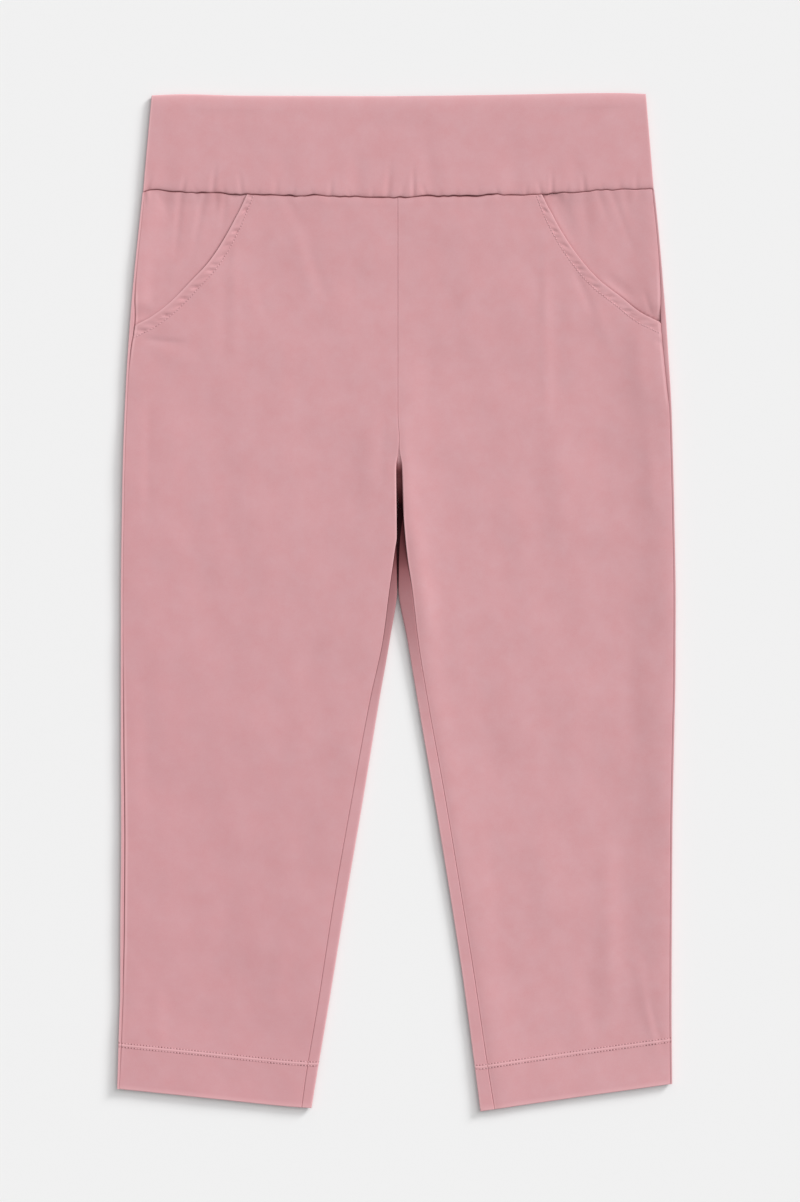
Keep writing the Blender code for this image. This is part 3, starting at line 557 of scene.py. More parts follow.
def on_facing(leg, across, y):
    """1 where a front lies on its pocket facing, 0 clear of it."""
    bottom = pocket_bottom(leg)
    inner = facing_inner_edge(leg, y)
    beside = smooth_step(across, inner - FACING_RISE, inner)
    return beside * smooth_step(y, bottom - 2 * FACING_LAP, bottom - FACING_LAP)


def cloth_height(leg, across, y):
    """Height of the top of a front over the surface, before its creases and its sewing."""
    rows = HEIGHT_ROWS[leg]
    middle = read(rows, "middle", y)
    inner = read(rows, "inner", y) - middle
    side = read(rows, "side", y) - middle
    reach = ROLL_REACH[leg]
    height = middle + inner * bell(across - front_edge(leg, min(y, SLIT_MIDDLE_Y)), reach.inner)
    height = height + side * bell(side_seam(leg, y) - across, reach.side)
    return height + np.maximum(OVER_FACING_Z[leg] - height, 0) * on_facing(leg, across, y)


def on_plan(leg, across, y):
    """Where a place in the cut lies in the garment, as the waist seam waves and the hem slants."""
    x = CENTRE_SEAM_X + OUTWARD[leg] * across
    lean = SEAM_LEAN.shift * bell(y - SEAM_LEAN.y, SEAM_LEAN.half_height)
    x = x + lean * np.exp(-across / SEAM_LEAN.reach)
    waist = smooth_step(y, WAIST_Y - WAIST_EASE, WAIST_Y) * (waist_seam(x) - WAIST_Y)
    hem = smooth_step(y, *HEM_EASE) * (read(HEM_EDGE[leg], "y", across) - HEM_Y)
    return x, y + waist + hem


def waves(x, y):
    """Slow unevenness, the same for all the pieces so that they stay level at their seams."""
    height = 0.0
    for wave in WAVES:
        heading = math.radians(wave.heading)
        run = (x * math.cos(heading) + y * math.sin(heading)) / wave.length
        height = height + wave.height * np.sin(2 * math.pi * run + wave.start)
    return height


def creases(rows, x, y):
    """Height of a table's ridges and troughs at places in the garment."""
    height = 0.0
    for row in rows:
        run_x = row.end_x - row.x
        run_y = row.end_y - row.y
        length = math.hypot(run_x, run_y)
        share = ((x - row.x) * run_x + (y - row.y) * run_y) / length**2
        off = ((x - row.x) * run_y - (y - row.y) * run_x) / length
        fade = smooth_step(share, 0, CREASE_FADE) * smooth_step(share, 1, 1 - CREASE_FADE)
        height = height + row.height * bell(off, row.half_width) * fade
    return height


def puckers(rows, x, rise):
    """Depth of the dimples beside the waist seam, at a distance from it."""
    depth = 0.0
    for row in rows:
        off = x - row.x - row.lean * rise
        dimple = bell(off, row.half_width) - PUCKER_SHOULDER * bell(off, 2 * row.half_width)
        depth = depth + row.depth * dimple * (1 - smooth_step(rise, 0, row.height))
    return depth


def waist_relief(x, below):
    """The cloth of a leg where it goes into the waist seam, at a distance below the seam."""
    tuck = WAIST_DROP / WAIST_ROUND * roll(below, WAIST_ROUND)
    return bump(WAIST_SWELL, below) - tuck - puckers(LEG_PUCKERS, x, below)


def pocket_line(leg):
    """Points along the pocket opening, run on past both its ends."""
    y = np.linspace(POCKET_ROWS[leg][0].y, pocket_bottom(leg), POCKET_LINE_POINTS)
    line = columns(pocket_edge(leg, y), y)
    before, after = [
        end + (end - beside) / np.linalg.norm(end - beside) * POCKET_LINE_RUN_ON
        for end, beside in ((line[0], line[1]), (line[-1], line[-2]))
    ]
    return np.concatenate([[before], line, [after]])


def beside_pocket(leg, across, y):
    """Distance of places from a pocket's opening, and how far along it they lie."""
    line = POCKET_LINES[leg]
    run = np.diff(line, axis=0)
    length = np.linalg.norm(run, axis=1)
    travelled = np.concatenate([[0.0], np.cumsum(length)[:-1]])
    places = np.stack(np.broadcast_arrays(across, y), axis=-1)
    offset = places[..., None, :] - line[:-1]
    share = np.clip((offset * run).sum(-1) / length**2, 0, 1)
    gap = np.linalg.norm(offset - share[..., None] * run, axis=-1)
    nearest = gap.argmin(axis=-1)[..., None]
    along = np.take_along_axis(travelled + share * length, nearest, -1)[..., 0]
    return np.take_along_axis(gap, nearest, -1)[..., 0], along


def pocket_hem(leg, along):
    """How far a pocket's stitches lie from its opening, at a distance along it."""
    from_waist = np.maximum(along - POCKET_LINE_RUN_ON, 0)
    return POCKET_HEM[leg] - fading(POCKET_HEM_NARROWS, from_waist)


def pocket_relief(leg, across, y):
    """The turned and stitched edge of a pocket opening."""
    gap, along = beside_pocket(leg, across, y)
    hem = pocket_hem(leg, along)
    crown = POCKET_CROWN * np.sin(np.clip(gap / hem, 0, 1) * math.pi)
    curl = fading(LIP_CURL[leg], gap)
    crown = crown + curl * smooth_step(along - POCKET_LINE_RUN_ON, *LIP_CURL_STARTS)
    groove = bump(POCKET_GROOVE, gap - hem)
    run = 2 * math.pi * along
    swing = ROPING.swing * np.sin(run / ROPING.slow_pitch)
    rope = 0.5 + 0.5 * np.sin((run + 2 * math.pi * ROPING.slant * gap) / ROPING.pitch + swing)
    uneven = 1 - ROPING.uneven + ROPING.uneven * np.sin(run / ROPING.uneven_pitch + ROPING.uneven_start)
    inside = smooth_step(gap, *[share * hem for share in ROPING_STARTS])
    inside = inside * smooth_step(gap, hem, hem - ROPING_ENDS)
    return crown - groove - getattr(ROPING, leg) * rope**2 * uneven * inside


def hem_grooves(y):
    """How far the two rows of a hem's stitches are drawn in."""
    return bump(HEM_GROOVE, np.abs(y - HEM_SEAM_Y))


def hem_relief(y):
    """The ridge of the hem between its two rows of stitches."""
    return bump(HEM_RIDGE, y - HEM_SEAM_Y) - hem_grooves(y)


def front_top(leg, across, y):
    """Height of the top face of a front, with its creases and sewing."""
    across = np.asarray(across, float)
    x, fore = on_plan(leg, across, y)
    height = cloth_height(leg, across, y) + waves(x, fore) + creases(LEG_CREASES, x, fore)
    height = height + waist_relief(x, LEG_TOP_Y - y) + hem_relief(y)
    dip = fading(INSEAM_DIP[leg], across - front_edge(leg, y))
    dip = dip * smooth_step(y, *INSEAM_DIP_STARTS)
    dip = dip + fading(SIDE_DIP[leg], side_seam(leg, y) - across)
    height = height - dip - roll(y - HEM_Y, EDGE_ROUND)
    if y > POCKET_ZONE_Y:
        height = height + pocket_relief(leg, across, y)
    if y > pocket_bottom(leg):
        return height - roll(beside_pocket(leg, across, y)[0], LIP_ROUND)
    return height - roll(front_outer_edge(leg, y) - across, SEAM_ROUND) * seam_depth(leg, y)


def seam_shows(leg, y):
    """How well a side seam can be seen: not where it hides at the very edge, and less in a flat hem."""
    in_hem = smooth_step(y, *SEAM_FADES_AT) * SEAM_FADES[leg]
    return smooth_step(read(SIDE_ROWS[leg], "strip", y), *STRIP_SHOWS) * (1 - in_hem)


def seam_depth(leg, y):
    return SEAM_HIDDEN + (SEAM_DEPTH[leg] - SEAM_HIDDEN) * seam_shows(leg, y)


def distances(path):
    """Distance along a path of each of its points."""
    steps = np.linalg.norm(np.diff(path, axis=0), axis=1)
    return np.concatenate([[0.0], np.cumsum(steps)])


def along_path(path, start, end, count):
    """Evenly spaced points on a stretch of a path, from one share of its length to another."""
    path = np.asarray(path, float)
    travelled = distances(path)
    places = np.linspace(start, end, count) * travelled[-1]
    return np.stack([np.interp(places, travelled, path[:, k]) for k in (0, 1)], axis=1)


def arc(centre, radii, start, end, count=ROUND_POINTS, squareness=1.0):
    """Points on an ellipse in a section, its angles in degrees from outward towards up."""
    angles = np.radians(np.linspace(start, end, count))
    out, up = [np.sign(v) * np.abs(v) ** squareness for v in (np.cos(angles), np.sin(angles))]
    return columns(centre[0] + radii[0] * out, centre[1] + radii[1] * up)


def inset(path, thickness, start=None, end=None):
    """The inner face of a wall: each point moved to the right of the path by its own thickness."""
    along = np.gradient(path, axis=0)
    along /= np.linalg.norm(along, axis=1)[:, None]
    for index, heading in ((0, start), (-1, end)):
        if heading is not None:
            along[index] = (math.cos(math.radians(heading)), math.sin(math.radians(heading)))
    inward = columns(along[:, 1], -along[:, 0])
    return path + inward * np.broadcast_to(thickness, len(path))[:, None]


def inner_round(leg, y, top):
    """Path round the inner fold of a leg, from its underside up to the edge of the front."""
    edge = front_edge(leg, y)
    fold = read(INNER_ROWS[leg], "fold", y)
    low = max(top - read(STRIP_DROP, "drop", y), FLOOR_MIN_Z)
    middle = low * FOLD_MIDDLE
    reach = SLIT_FOLD_UNDER + (FOLD_UNDER - SLIT_FOLD_UNDER) * smooth_step(y, *SLIT_FOLD_ENDS)
    under = arc((fold + reach, middle), (reach, middle), 270, 180)
    square = FOLD_SQUARENESS + (ROUNDER[leg] - FOLD_SQUARENESS) * smooth_step(y, *ROUNDER_FOLD)
    over = arc((edge, middle), (edge - fold, low - middle), 180, 90, INNER_ROUND_POINTS, square)
    return np.concatenate([under, over[1:]])


def lip_path(below, lip_x, radius, top, end):
    """The turned edge of a front: up from what is below, over its round and in to where it lies flat."""
    lip = arc((lip_x + radius, top - radius), (radius, radius), 180, 90)
    return along_path(np.concatenate([below, lip, [(end, top)]]), 0, 1, HOOK_POINTS)


def front_hook(leg, y, top):
    """The inner edge of a front: at the centre seam, down in the slit, round the fold or at the inseam."""
    edge = front_edge(leg, y)
    end = edge + HOOK_REACH
    floor_z = max(top - read(SLIT_FLOOR, "drop", y), FLOOR_MIN_Z)
    radius = CENTRE_ROUND + (SLIT_ROUND - CENTRE_ROUND) * smooth_step(y, *SLIT_OPEN)
    slit = [(CENTRE_EDGE, floor_z), (max(edge, CENTRE_EDGE + 2 * APART), floor_z)]
    hook = lip_path(slit, edge, radius, top, end + APART)
    drop = min(read(STRIP_DROP, "drop", y), top - FLOOR_MIN_Z)
    share = smooth_step(y, *SLIT_TO_FOLD)
    if share > 0:
        climb = min(seam_climb(y) + APART, 1 - 2 * APART)
        around = along_path(inner_round(leg, y, top), climb, 1, AROUND_POINTS)
        around = lip_path(around, edge, min(SLIT_ROUND, drop + APART), top, end + APART)
        hook += (around - hook) * share
    share = smooth_step(y, *FOLD_TO_SEAM)
    if share > 0:
        seam_x = edge + CENTRE_EDGE
        below = [(seam_x, top - max(SEAM_DROP, drop + SEAM_ROUND))]
        hook += (lip_path(below, seam_x, SEAM_ROUND, top, end) - hook) * share
    return hook


Section = namedtuple("Section", "outer inner shade wear")


def front_section(leg, y):
    """A front from its inner edge out to the pocket or side seam."""
    edge = front_edge(leg, y)
    end = front_outer_edge(leg, y)
    first = edge + HOOK_REACH + np.array(FRONT_INNER_STEPS)
    last = end - np.array(FRONT_OUTER_STEPS[::-1])
    middle = np.linspace(first[-1], last[0], FRONT_MIDDLE + 2)[1:-1]
    places = np.concatenate([first, middle, last])
    top = float(front_top(leg, edge + HOOK_REACH, y))
    flat = columns(places, front_top(leg, places, y))
    path = np.concatenate([front_hook(leg, y, top), flat])
    across, z = path.T
    in_fold = smooth_step(edge - across, *FOLD_HIDES) * smooth_step(y, *SLIT_TO_FOLD)
    in_slit = read(SLIT_FLOOR, "shade", y) * smooth_step(top - z, *SHADE_DEPTH)
    shade = np.maximum(in_slit, strip_shade(leg, y, across) * in_fold)
    shade[HOOK_POINTS:] = 0
    shade = np.maximum(shade, waist_shade(on_plan(leg, across, y)[0], LEG_TOP_Y - y))
    if y < pocket_bottom(leg):
        shade = np.maximum(shade, side_shade(leg, y, end - across))
    return Section(path, inset(path, CLOTH + hem_layer(y), end=0), shade, front_wear_and_highlight(leg, path, y, top))


def waist_shade(x, from_seam):
    """Shade held in the waist seam, at a distance from it: the seam pulls in deeper in some places."""
    uneven = 1 + wander(PULL_WANDER, x) * np.sin(x / PULL_FADE.length + PULL_FADE.start)
    pull = read(WAIST_PULL, "pull", x) * uneven
    return np.minimum(pull, 1) * (1 - smooth_step(from_seam / (WAIST_SHADE_LEAST + pull), *WAIST_SHADE))


def side_shade(leg, y, from_seam):
    """Shade held in a side seam."""
    return SIDE_SEAM_SHADE[leg] * seam_shows(leg, y) * (1 - smooth_step(from_seam, *SEAM_SHADE_REACH))


def strip_shade(leg, y, across):
    """Shade on a back where it turns up between the legs."""
    darkest = read(STRIP_SHADE, leg, y)
    in_slit = 1 - smooth_step(across, darkest, darkest + STRIP_SHADE_SOFT)
    return np.maximum(read(STRIP_SHADE, "shade", y), in_slit * (darkest > 0))


def worn_and_highlighted(part, leg, distance):
    """How pale the cloth is painted at a distance in from an edge: worn pale mixed with painted highlight.
    """
    wear = WEAR_AND_HIGHLIGHT[part]
    return getattr(wear, leg) * bell(distance - wear.inward, wear.half_width)


def front_wear_and_highlight(leg, path, y, top):
    """Where a front's edges are painted pale, worn pale mixed with painted highlight: the slit's lips, the
    seams and the pocket opening.
    """
    across, z = path.T
    in_slit = smooth_step(y, *SLIT_OPEN) * smooth_step(y, *SLIT_WEAR_AND_HIGHLIGHT_ENDS)
    wear = worn_and_highlighted("slit lip", leg, across - front_edge(leg, y)) * bell(top - z, SLIT_WEAR_AND_HIGHLIGHT_DEPTH) * in_slit
    if y > pocket_bottom(leg):
        return np.maximum(wear, worn_and_highlighted("pocket", leg, beside_pocket(leg, across, y)[0]))
    seam = seam_shows(leg, y) * worn_and_highlighted("side seam", leg, front_outer_edge(leg, y) - across)
    return np.maximum(np.maximum(wear, hem_wear_and_highlight(leg, y)), seam)


def hem_wear_and_highlight(leg, y):
    """Where the ridge of the hem and its folded edge are painted pale, worn pale mixed with painted
    highlight on the edge turned away from the light.
    """
    return np.maximum(worn_and_highlighted("hem ridge", leg, y - HEM_SEAM_Y), worn_and_highlighted("hem edge", leg, y - HEM_Y))


def back_section(leg, y):
    """A back from the side seam, round the side fold, flat underneath and up to the inseam."""
    fold = read(SIDE_ROWS[leg], "fold", y)
    strip = read(SIDE_ROWS[leg], "strip", y)
    at_seam = on_plan(leg, fold - strip, y)
    top = read(HEIGHT_ROWS[leg], "side", y) + float(waves(*at_seam)) + hem_relief(y)
    middle = top * FOLD_MIDDLE
    side = arc((fold - strip, middle), (strip, top - middle), 90, 0, SIDE_ROUND_POINTS, FOLD_SQUARENESS)
    side = along_path(side, 0, 1, SIDE_POINTS)
    from_seam = distances(side)
    dip = fading(STRIP_DIP, from_seam) * seam_shows(leg, y)
    side[:, 1] -= roll(from_seam, SEAM_ROUND) * seam_depth(leg, y) + dip
    side[:, 1] -= SIDE_DIP[leg].size * (fold - side[:, 0]) / strip
    under = arc((fold - FOLD_UNDER, middle), (FOLD_UNDER, middle), 0, -90, UNDER_POINTS)
    lip = back_lip(leg, y)
    flat = np.linspace(fold - FOLD_UNDER, lip[0, 0], BACK_FLAT + 1)[1:-1]
    path = np.concatenate([side, under[1:], columns(flat, np.zeros(len(flat))), lip])
    flat_from = SIDE_POINTS + UNDER_POINTS - 1
    lifted = np.zeros(len(path))
    lifted[flat_from:flat_from + len(flat)] = 1
    relief = creases(BACK_CREASES, *on_plan(leg, path[:, 0], y)) + HEM_GROOVE_UNDER * hem_grooves(y)
    relief = relief + roll(LEG_TOP_Y - y, WAIST_ROUND / 2) + roll(y - HEM_Y, EDGE_ROUND / 2)
    path[:, 1] += lifted * relief
    across, z = path.T
    under_fold = slice(SIDE_POINTS, flat_from)
    shade = side_shade(leg, y, distances(path))
    shade[under_fold] = fold_shade(z[under_fold], middle)
    shade[-LIP_POINTS:] = strip_shade(leg, y, lip[:, 0]) * smooth_step(lip[:, 1], *STRIP_SHADE_RISE)
    shade = np.maximum(shade, fold_shade(z, middle) * (y < SLIT_TO_FOLD[1]))
    inner_fold = worn_and_highlighted("inner fold", leg, across - read(INNER_ROWS[leg], "fold", y))
    wear = np.maximum(np.maximum(worn_and_highlighted("side fold", leg, fold - across), inner_fold), hem_wear_and_highlight(leg, y))
    inner = inset(path, CLOTH + hem_layer(y) * lifted, start=0)
    return Section(path, inner, shade, wear * (z > WEAR_AND_HIGHLIGHT_MIN_Z) * (1 - shade))


def fold_shade(z, middle):
    """Shade under a turned edge: none above its widest place, and none on the flat underside."""
    low, high = FOLD_SHADE_SPAN
    return FOLD_SHADE * smooth_step(z, high * middle, low * middle) * smooth_step(z, *UNDERSIDE_Z)


def back_lip(leg, y):
    """The inner edge of a back: flat to the centre seam, or round the inner fold to the inseam."""
    reach = np.linspace(LIP_REACH, CENTRE_EDGE, LIP_POINTS)
    flat = columns(reach, roll(reach - CENTRE_EDGE, SEAM_ROUND) * BACK_SEAM_DEPTH)
    share = smooth_step(y, *SLIT_TO_FOLD)
    if share == 0:
        return flat
    top = float(front_top(leg, front_edge(leg, y) + HOOK_REACH, y))
    turned = along_path(inner_round(leg, y, top), 0, seam_climb(y), LIP_POINTS)
    from_end = distances(turned)[-1] - distances(turned)
    turned[:, 1] -= roll(from_end, SEAM_ROUND) * smooth_step(y, *FOLD_TO_SEAM)
    return flat + (turned - flat) * share


def facing_top(leg, across, y):
    """Height of the top face of a pocket facing."""
    x, fore = on_plan(leg, across, y)
    side = read(HEIGHT_ROWS[leg], "side", y) - FACING_Z
    from_side = side_seam(leg, y) - across
    at_side = side * bell(from_side, FACING_SIDE_REACH) * smooth_step(y, *FACING_CORNER)
    from_opening = across - pocket_edge(leg, y)
    showing = smooth_step(from_opening, FACING_STEP, 2 * FACING_STEP)
    at_waist = fading(FACING_WAIST_LIFT, WAIST_Y - y) * showing
    lift = fading(FACING_LIFT[leg], beside_pocket(leg, across, y)[0])
    height = FACING_Z + lift + np.maximum(at_side - np.maximum(lift, 0), at_waist)
    relief = waves(x, fore) + creases(FACING_CREASES, x, fore) + waist_relief(x, LEG_TOP_Y - y)
    height = height + smooth_step(from_opening, *FACING_CLEAR) * relief
    height = height - fading(SIDE_DIP[leg], from_side)
    return height - roll(from_side - SEAM_GAP / 2, SEAM_ROUND) * seam_depth(leg, y)


def facing_section(leg, y):
    """A pocket facing from under the front out to the side seam."""
    outer = side_seam(leg, y) - SEAM_GAP / 2
    edge = outer - np.array(EDGE_STEPS[::-1])
    places = np.concatenate([np.linspace(facing_inner_edge(leg, y), edge[0], FACING_POINTS)[:-1], edge])
    path = columns(places, facing_top(leg, places, y))
    at_waist = waist_shade(on_plan(leg, places, y)[0], LEG_TOP_Y - y)
    gap = beside_pocket(leg, places, y)[0]
    at_opening = read(POCKET_ROWS[leg], "shade", y) * (1 - smooth_step(gap, *POCKET_SHADE_REACH))
    shade = np.maximum(np.maximum(at_waist, side_shade(leg, y, outer - places)), at_opening)
    wear = seam_shows(leg, y) * worn_and_highlighted("side seam", leg, outer - places)
    return Section(path, inset(path, CLOTH, end=0), shade, wear)


def rows_of(stretches, edges=True):
    """Heights of the sections along a run of stretches, closest at the waist seam and the hem edge."""
    heights = [LEG_TOP_Y - step for step in EDGE_STEPS]
    for stretch in stretches:
        steps = max(round(abs(stretch.end - heights[-1]) / stretch.spacing), 1)
        heights.extend(np.linspace(heights[-1], stretch.end, steps + 1)[1:])
    if edges:
        heights.extend(HEM_Y + step for step in HEM_EDGE_STEPS[1:])
    return heights


def stitch_guide(leg, across, y, pocket):
    """How far along the nearest row of stitches each place lies, and how far off it."""
    if pocket and y > POCKET_ZONE_Y:
        gap, along = beside_pocket(leg, across, y)
        return along, np.abs(gap - pocket_hem(leg, along)) + POCKET_NEEDLE
    off = abs(abs(y - HEM_SEAM_Y) - HEM_ROW) if y < HEM_EASE[1] else NO_STITCHES
    return across, np.full(len(across), off)


def leg_piece(name, leg, section, heights, stitched):
    """One cut piece of a leg, from its sections at the given heights."""
    rows = []
    for y in heights:
        row = section(leg, y)
        faces = [
            columns(*on_plan(leg, points[:, 0], y), points[:, 1])
            for points in (row.outer, row.inner)
        ]
        travelled = distances(row.outer)
        outward = np.sign(row.outer[-1, 0] - row.outer[0, 0])
        place = row.outer[HOOK_POINTS, 0] + outward * (travelled - travelled[HOOK_POINTS])
        cloth = columns(OUTWARD[leg] * place, np.full(len(place), y))
        guide = columns(*stitch_guide(leg, row.outer[:, 0], y, stitched))
        rows.append((*faces, cloth, columns(row.shade, row.wear), guide))
    return wall(name, *zip(*rows))


def wall_faces(row_count, column_count):
    """Faces of a closed sheet between two grids of points, joined round their borders."""
    index = np.arange(row_count * column_count).reshape(row_count, column_count)
    face = np.stack([index[:-1, :-1], index[:-1, 1:], index[1:, 1:], index[1:, :-1]], axis=-1)
    face = face.reshape(-1, 4)
    border = np.concatenate([index[0, :-1], index[:-1, -1], index[-1, :0:-1], index[:0:-1, 0]])
    after = np.roll(border, -1)
    rim = np.stack([after, border, border + index.size, after + index.size], axis=-1)
    return np.concatenate([face, face[:, ::-1] + index.size, rim])


def wall(name, outer, inner, cloth, shade_wear_highlight, guide):
    """A sheet from its outer and inner grids (mm), with what its material needs to know at each point."""
    outer = np.array(outer)
    points = np.concatenate([outer.reshape(-1, 3), np.array(inner).reshape(-1, 3)])
    faces = wall_faces(*outer.shape[:2])
    a, b, c, d = points[faces].transpose(1, 0, 2)
    if (np.cross(a, b) * c + np.cross(a, c) * d).sum() < 0:
        faces = faces[:, ::-1]
    piece = mesh_piece(name, points, faces.tolist())
    piece.data.set_sharp_from_angle(angle=CREASE_ANGLE)
    # The middle attribute holds painted shade, and worn pale mixed with painted highlight
    for label, values in (("cloth_mm", cloth), ("painted_shade_wear_highlight", shade_wear_highlight), ("stitch_mm", guide)):
        values = np.array(values).reshape(-1, 2)
        values = np.hstack([values, np.zeros((len(values), 1))])
        layer = piece.data.attributes.new(label, "FLOAT_VECTOR", "POINT")
        layer.data.foreach_set("vector", np.concatenate([values, values]).ravel())
    return piece


def add_object(name, data):
    made = bpy.data.objects.new(name, data)
    bpy.context.collection.objects.link(made)
    return made


def mesh_piece(name, points, faces):
    """A smooth mesh in metres from points in millimetres."""
    mesh = bpy.data.meshes.new(name)
    mesh.from_pydata((points * MM).tolist(), [], faces)
    mesh.shade_smooth()
    return add_object(name, mesh)


def band_rows(radius):
    """Rows of points up the band: rises over the waist seam, then steps in from the fold at the top."""
    rises = np.concatenate([EDGE_STEPS, *[np.arange(*stretch) for stretch in BAND_RISES]])
    fold = radius * (1 - np.cos(np.linspace(math.radians(90), 0, BAND_FOLD_POINTS)))
    start, spacing = BAND_STEPS
    steps = np.concatenate([np.arange(start, radius, spacing), fold])
    return [(rise, None) for rise in rises] + [(None, step) for step in steps]


def band_columns(count, radius):
    """Shares of the way across the band, closest together at its rounded ends."""
    width = BAND_LEFT.bottom - BAND_RIGHT.bottom
    ends = radius * (1 - np.cos(np.linspace(0, math.radians(90), BAND_END_POINTS))) / width
    middle = np.linspace(ends[-1], 1 - ends[-1], count)[1:-1]
    return np.concatenate([ends, middle, 1 - ends[::-1]])


def waistband(name, band):
    """One side of the band: flat where it faces the other side, its outer face rounded at the edges."""
    front = band.round_z > band.flat_z
    shares = band_columns(band.columns, band.radius)
    rows = []
    for rise, step in band_rows(band.radius):
        taper = rise / BAND_HEIGHT if step is None else 1 - step / BAND_HEIGHT
        right, left = [side.bottom + (side.top - side.bottom) * taper for side in (BAND_RIGHT, BAND_LEFT)]
        x = right + (left - right) * shares
        bottom = waist_seam(x) + SEAM_GAP / 2
        top = read(BAND_TOP, "y", x)
        y = top - step if rise is None else bottom + rise
        from_edge = np.minimum(top - y, np.minimum(x - right, left - x))
        drop = roll(from_edge, band.radius) + roll(y - bottom, BAND_SEAM_ROUND)
        drop = drop + puckers(band.puckers, x, y - bottom)
        shade = waist_shade(x, y - bottom)
        if front:
            drop = drop + BAND_SAG * np.sin(np.clip((y - bottom) / (top - bottom), 0, 1) * math.pi)
            drop = drop + fading(BAND_FOLD_DIP, top - y)
            drop = drop + fading(BAND_SEAM_DIP, y - bottom)
            drop = drop - BAND_WAVE_SHARE * waves(x, y) - creases(BAND_CREASES, x, y)
            z = band.round_z - np.minimum(drop, BAND_CLOTH - LAYER_GAP / 2)
        else:
            z = band.round_z + np.maximum(drop, 0)
            high, low = [share * band.radius for share in BAND_FOLD_SHADE]
            shade = np.maximum(shade, FOLD_SHADE * smooth_step(from_edge, high, low))
        # The band's ends and top fold are painted pale, worn pale mixed with painted highlight, most on the
        # end turned away from the light
        side_wear_and_highlight = np.where(x < 0, *[worn_and_highlighted("band side", leg, from_edge) for leg in ("right", "left")])
        wear = np.maximum(side_wear_and_highlight, fading(BAND_TOP_WEAR_AND_HIGHLIGHT, top - y))
        zero = np.zeros(len(x))
        parts = ((x, y, z), (x, y, zero + band.flat_z), (x, y), (shade, wear), (zero, zero + NO_STITCHES))
        rows.append([columns(*part) for part in parts])
    return wall(name, *zip(*rows))


def thread(name, lines, dip):
    """Rows of stitches, each stitch a short round of thread whose ends dip into the cloth."""
    centres, headings = [np.concatenate(part) for part in zip(*lines)]
    angles = np.linspace(0, 2 * math.pi, THREAD_SIDES, endpoint=False)
    lengths = np.linspace(-1, 1, THREAD_RINGS)
    girth = THREAD_RADIUS * np.sqrt(1 + THREAD_BLUNT - lengths**4)
    ring = columns(
        np.repeat(lengths * STITCH_LENGTH / 2, THREAD_SIDES),
        np.outer(girth, np.cos(angles)).ravel(),
        np.outer(girth, np.sin(angles)).ravel() - np.repeat(dip * lengths**4, THREAD_SIDES),
    )
    index = np.arange(THREAD_RINGS * THREAD_SIDES).reshape(THREAD_RINGS, THREAD_SIDES)
    turned = np.roll(index, -1, axis=1)
    sides = np.stack([index[:-1], index[1:], turned[1:], turned[:-1]], axis=-1).reshape(-1, 4)
    headings = headings / np.linalg.norm(headings, axis=1)[:, None]
    across = np.cross([0, 0, 1.0], headings)
    across /= np.linalg.norm(across, axis=1)[:, None]
    axes = columns(headings, across, np.cross(headings, across))
    points = centres[:, None, :] + np.einsum("pk,nkx->npx", ring, axes)
    offsets = (np.arange(len(centres)) * len(ring))[:, None, None]
    faces = (sides[None] + offsets).reshape(-1, 4).tolist()
    for end in (index[0][::-1], index[-1]):
        faces += (end[None] + offsets[:, 0]).tolist()
    return mesh_piece(name, points.reshape(-1, 3), faces)


def pocket_stitches(leg):
    """Middles and headings of the stitches along a pocket opening."""
    line = POCKET_LINES[leg]
    travelled = distances(line)
    places = (np.arange(int(travelled[-1] / STITCH_PITCH)) + 0.5) * STITCH_PITCH
    here, after = [
        np.stack([np.interp(at, travelled, line[:, k]) for k in (0, 1)], axis=1)
        for at in (places, places + THREAD_AHEAD)
    ]
    ahead = (after - here) / np.linalg.norm(after - here, axis=1)[:, None]
    inward = columns(ahead[:, 1], -ahead[:, 0])
    spots = here + inward * pocket_hem(leg, places)[:, None]
    below_waist = spots[:, 1] < LEG_TOP_Y - WAIST_ROUND
    inside = spots[:, 0] < side_seam(leg, spots[:, 1]) - STITCH_MARGIN
    return surface_line(leg, spots[below_waist & inside])


def surface_line(leg, spots, height=None):
    """Points on the cloth at places in the cut, and the headings from each to the next."""
    rows = []
    for across, y in spots:
        x, fore = on_plan(leg, across, y)
        z = height
        if height is None:
            on_front = max(across, front_edge(leg, y) + HOOK_REACH)
            z = float(front_top(leg, on_front, y))
            if across < front_edge(leg, y):
                z = np.interp(across, *inner_round(leg, y, z)[ROUND_POINTS - 1:].T)
            z += THREAD_PROUD
        rows.append((x, fore, z))
    points = np.array(rows, float)
    return points, np.gradient(points, axis=0)


def hem_stitches(leg, height=None):
    """Middles and headings of a hem's two rows of stitches, on top of the cloth or underneath."""
    lines = []
    for y in (HEM_SEAM_Y + HEM_ROW, HEM_SEAM_Y - HEM_ROW):
        from_fold = FOLD_UNDER if height else STITCH_MARGIN
        start = math.ceil((read(INNER_ROWS[leg], "fold", y) + from_fold) / STITCH_PITCH)
        end = int((side_seam(leg, y) - STITCH_MARGIN) / STITCH_PITCH)
        spots = [((k + 0.5) * STITCH_PITCH, y) for k in range(start, end)]
        lines.append(surface_line(leg, spots, height))
    return lines


# ---- Finishes

def rose(hex_code):
    """An sRGB hex colour as linear red, green, blue and opaque."""
    levels = [int(hex_code[i:i + 2], 16) / 255 for i in (1, 3, 5)]
    return [v / 12.92 if v <= 0.04045 else ((v + 0.055) / 1.055) ** 2.4 for v in levels] + [1.0]


def add_node(tree, kind, values=None, links=None, **settings):
    """Add a node with its settings, the values on its sockets and the links into them."""
    node = tree.nodes.new(kind)
    for name, value in settings.items():
        setattr(node, name, value)
    for socket, value in (values or {}).items():
        node.inputs[socket].default_value = value
    for socket, source in (links or {}).items():
        tree.links.new(source, node.inputs[socket])
    return node


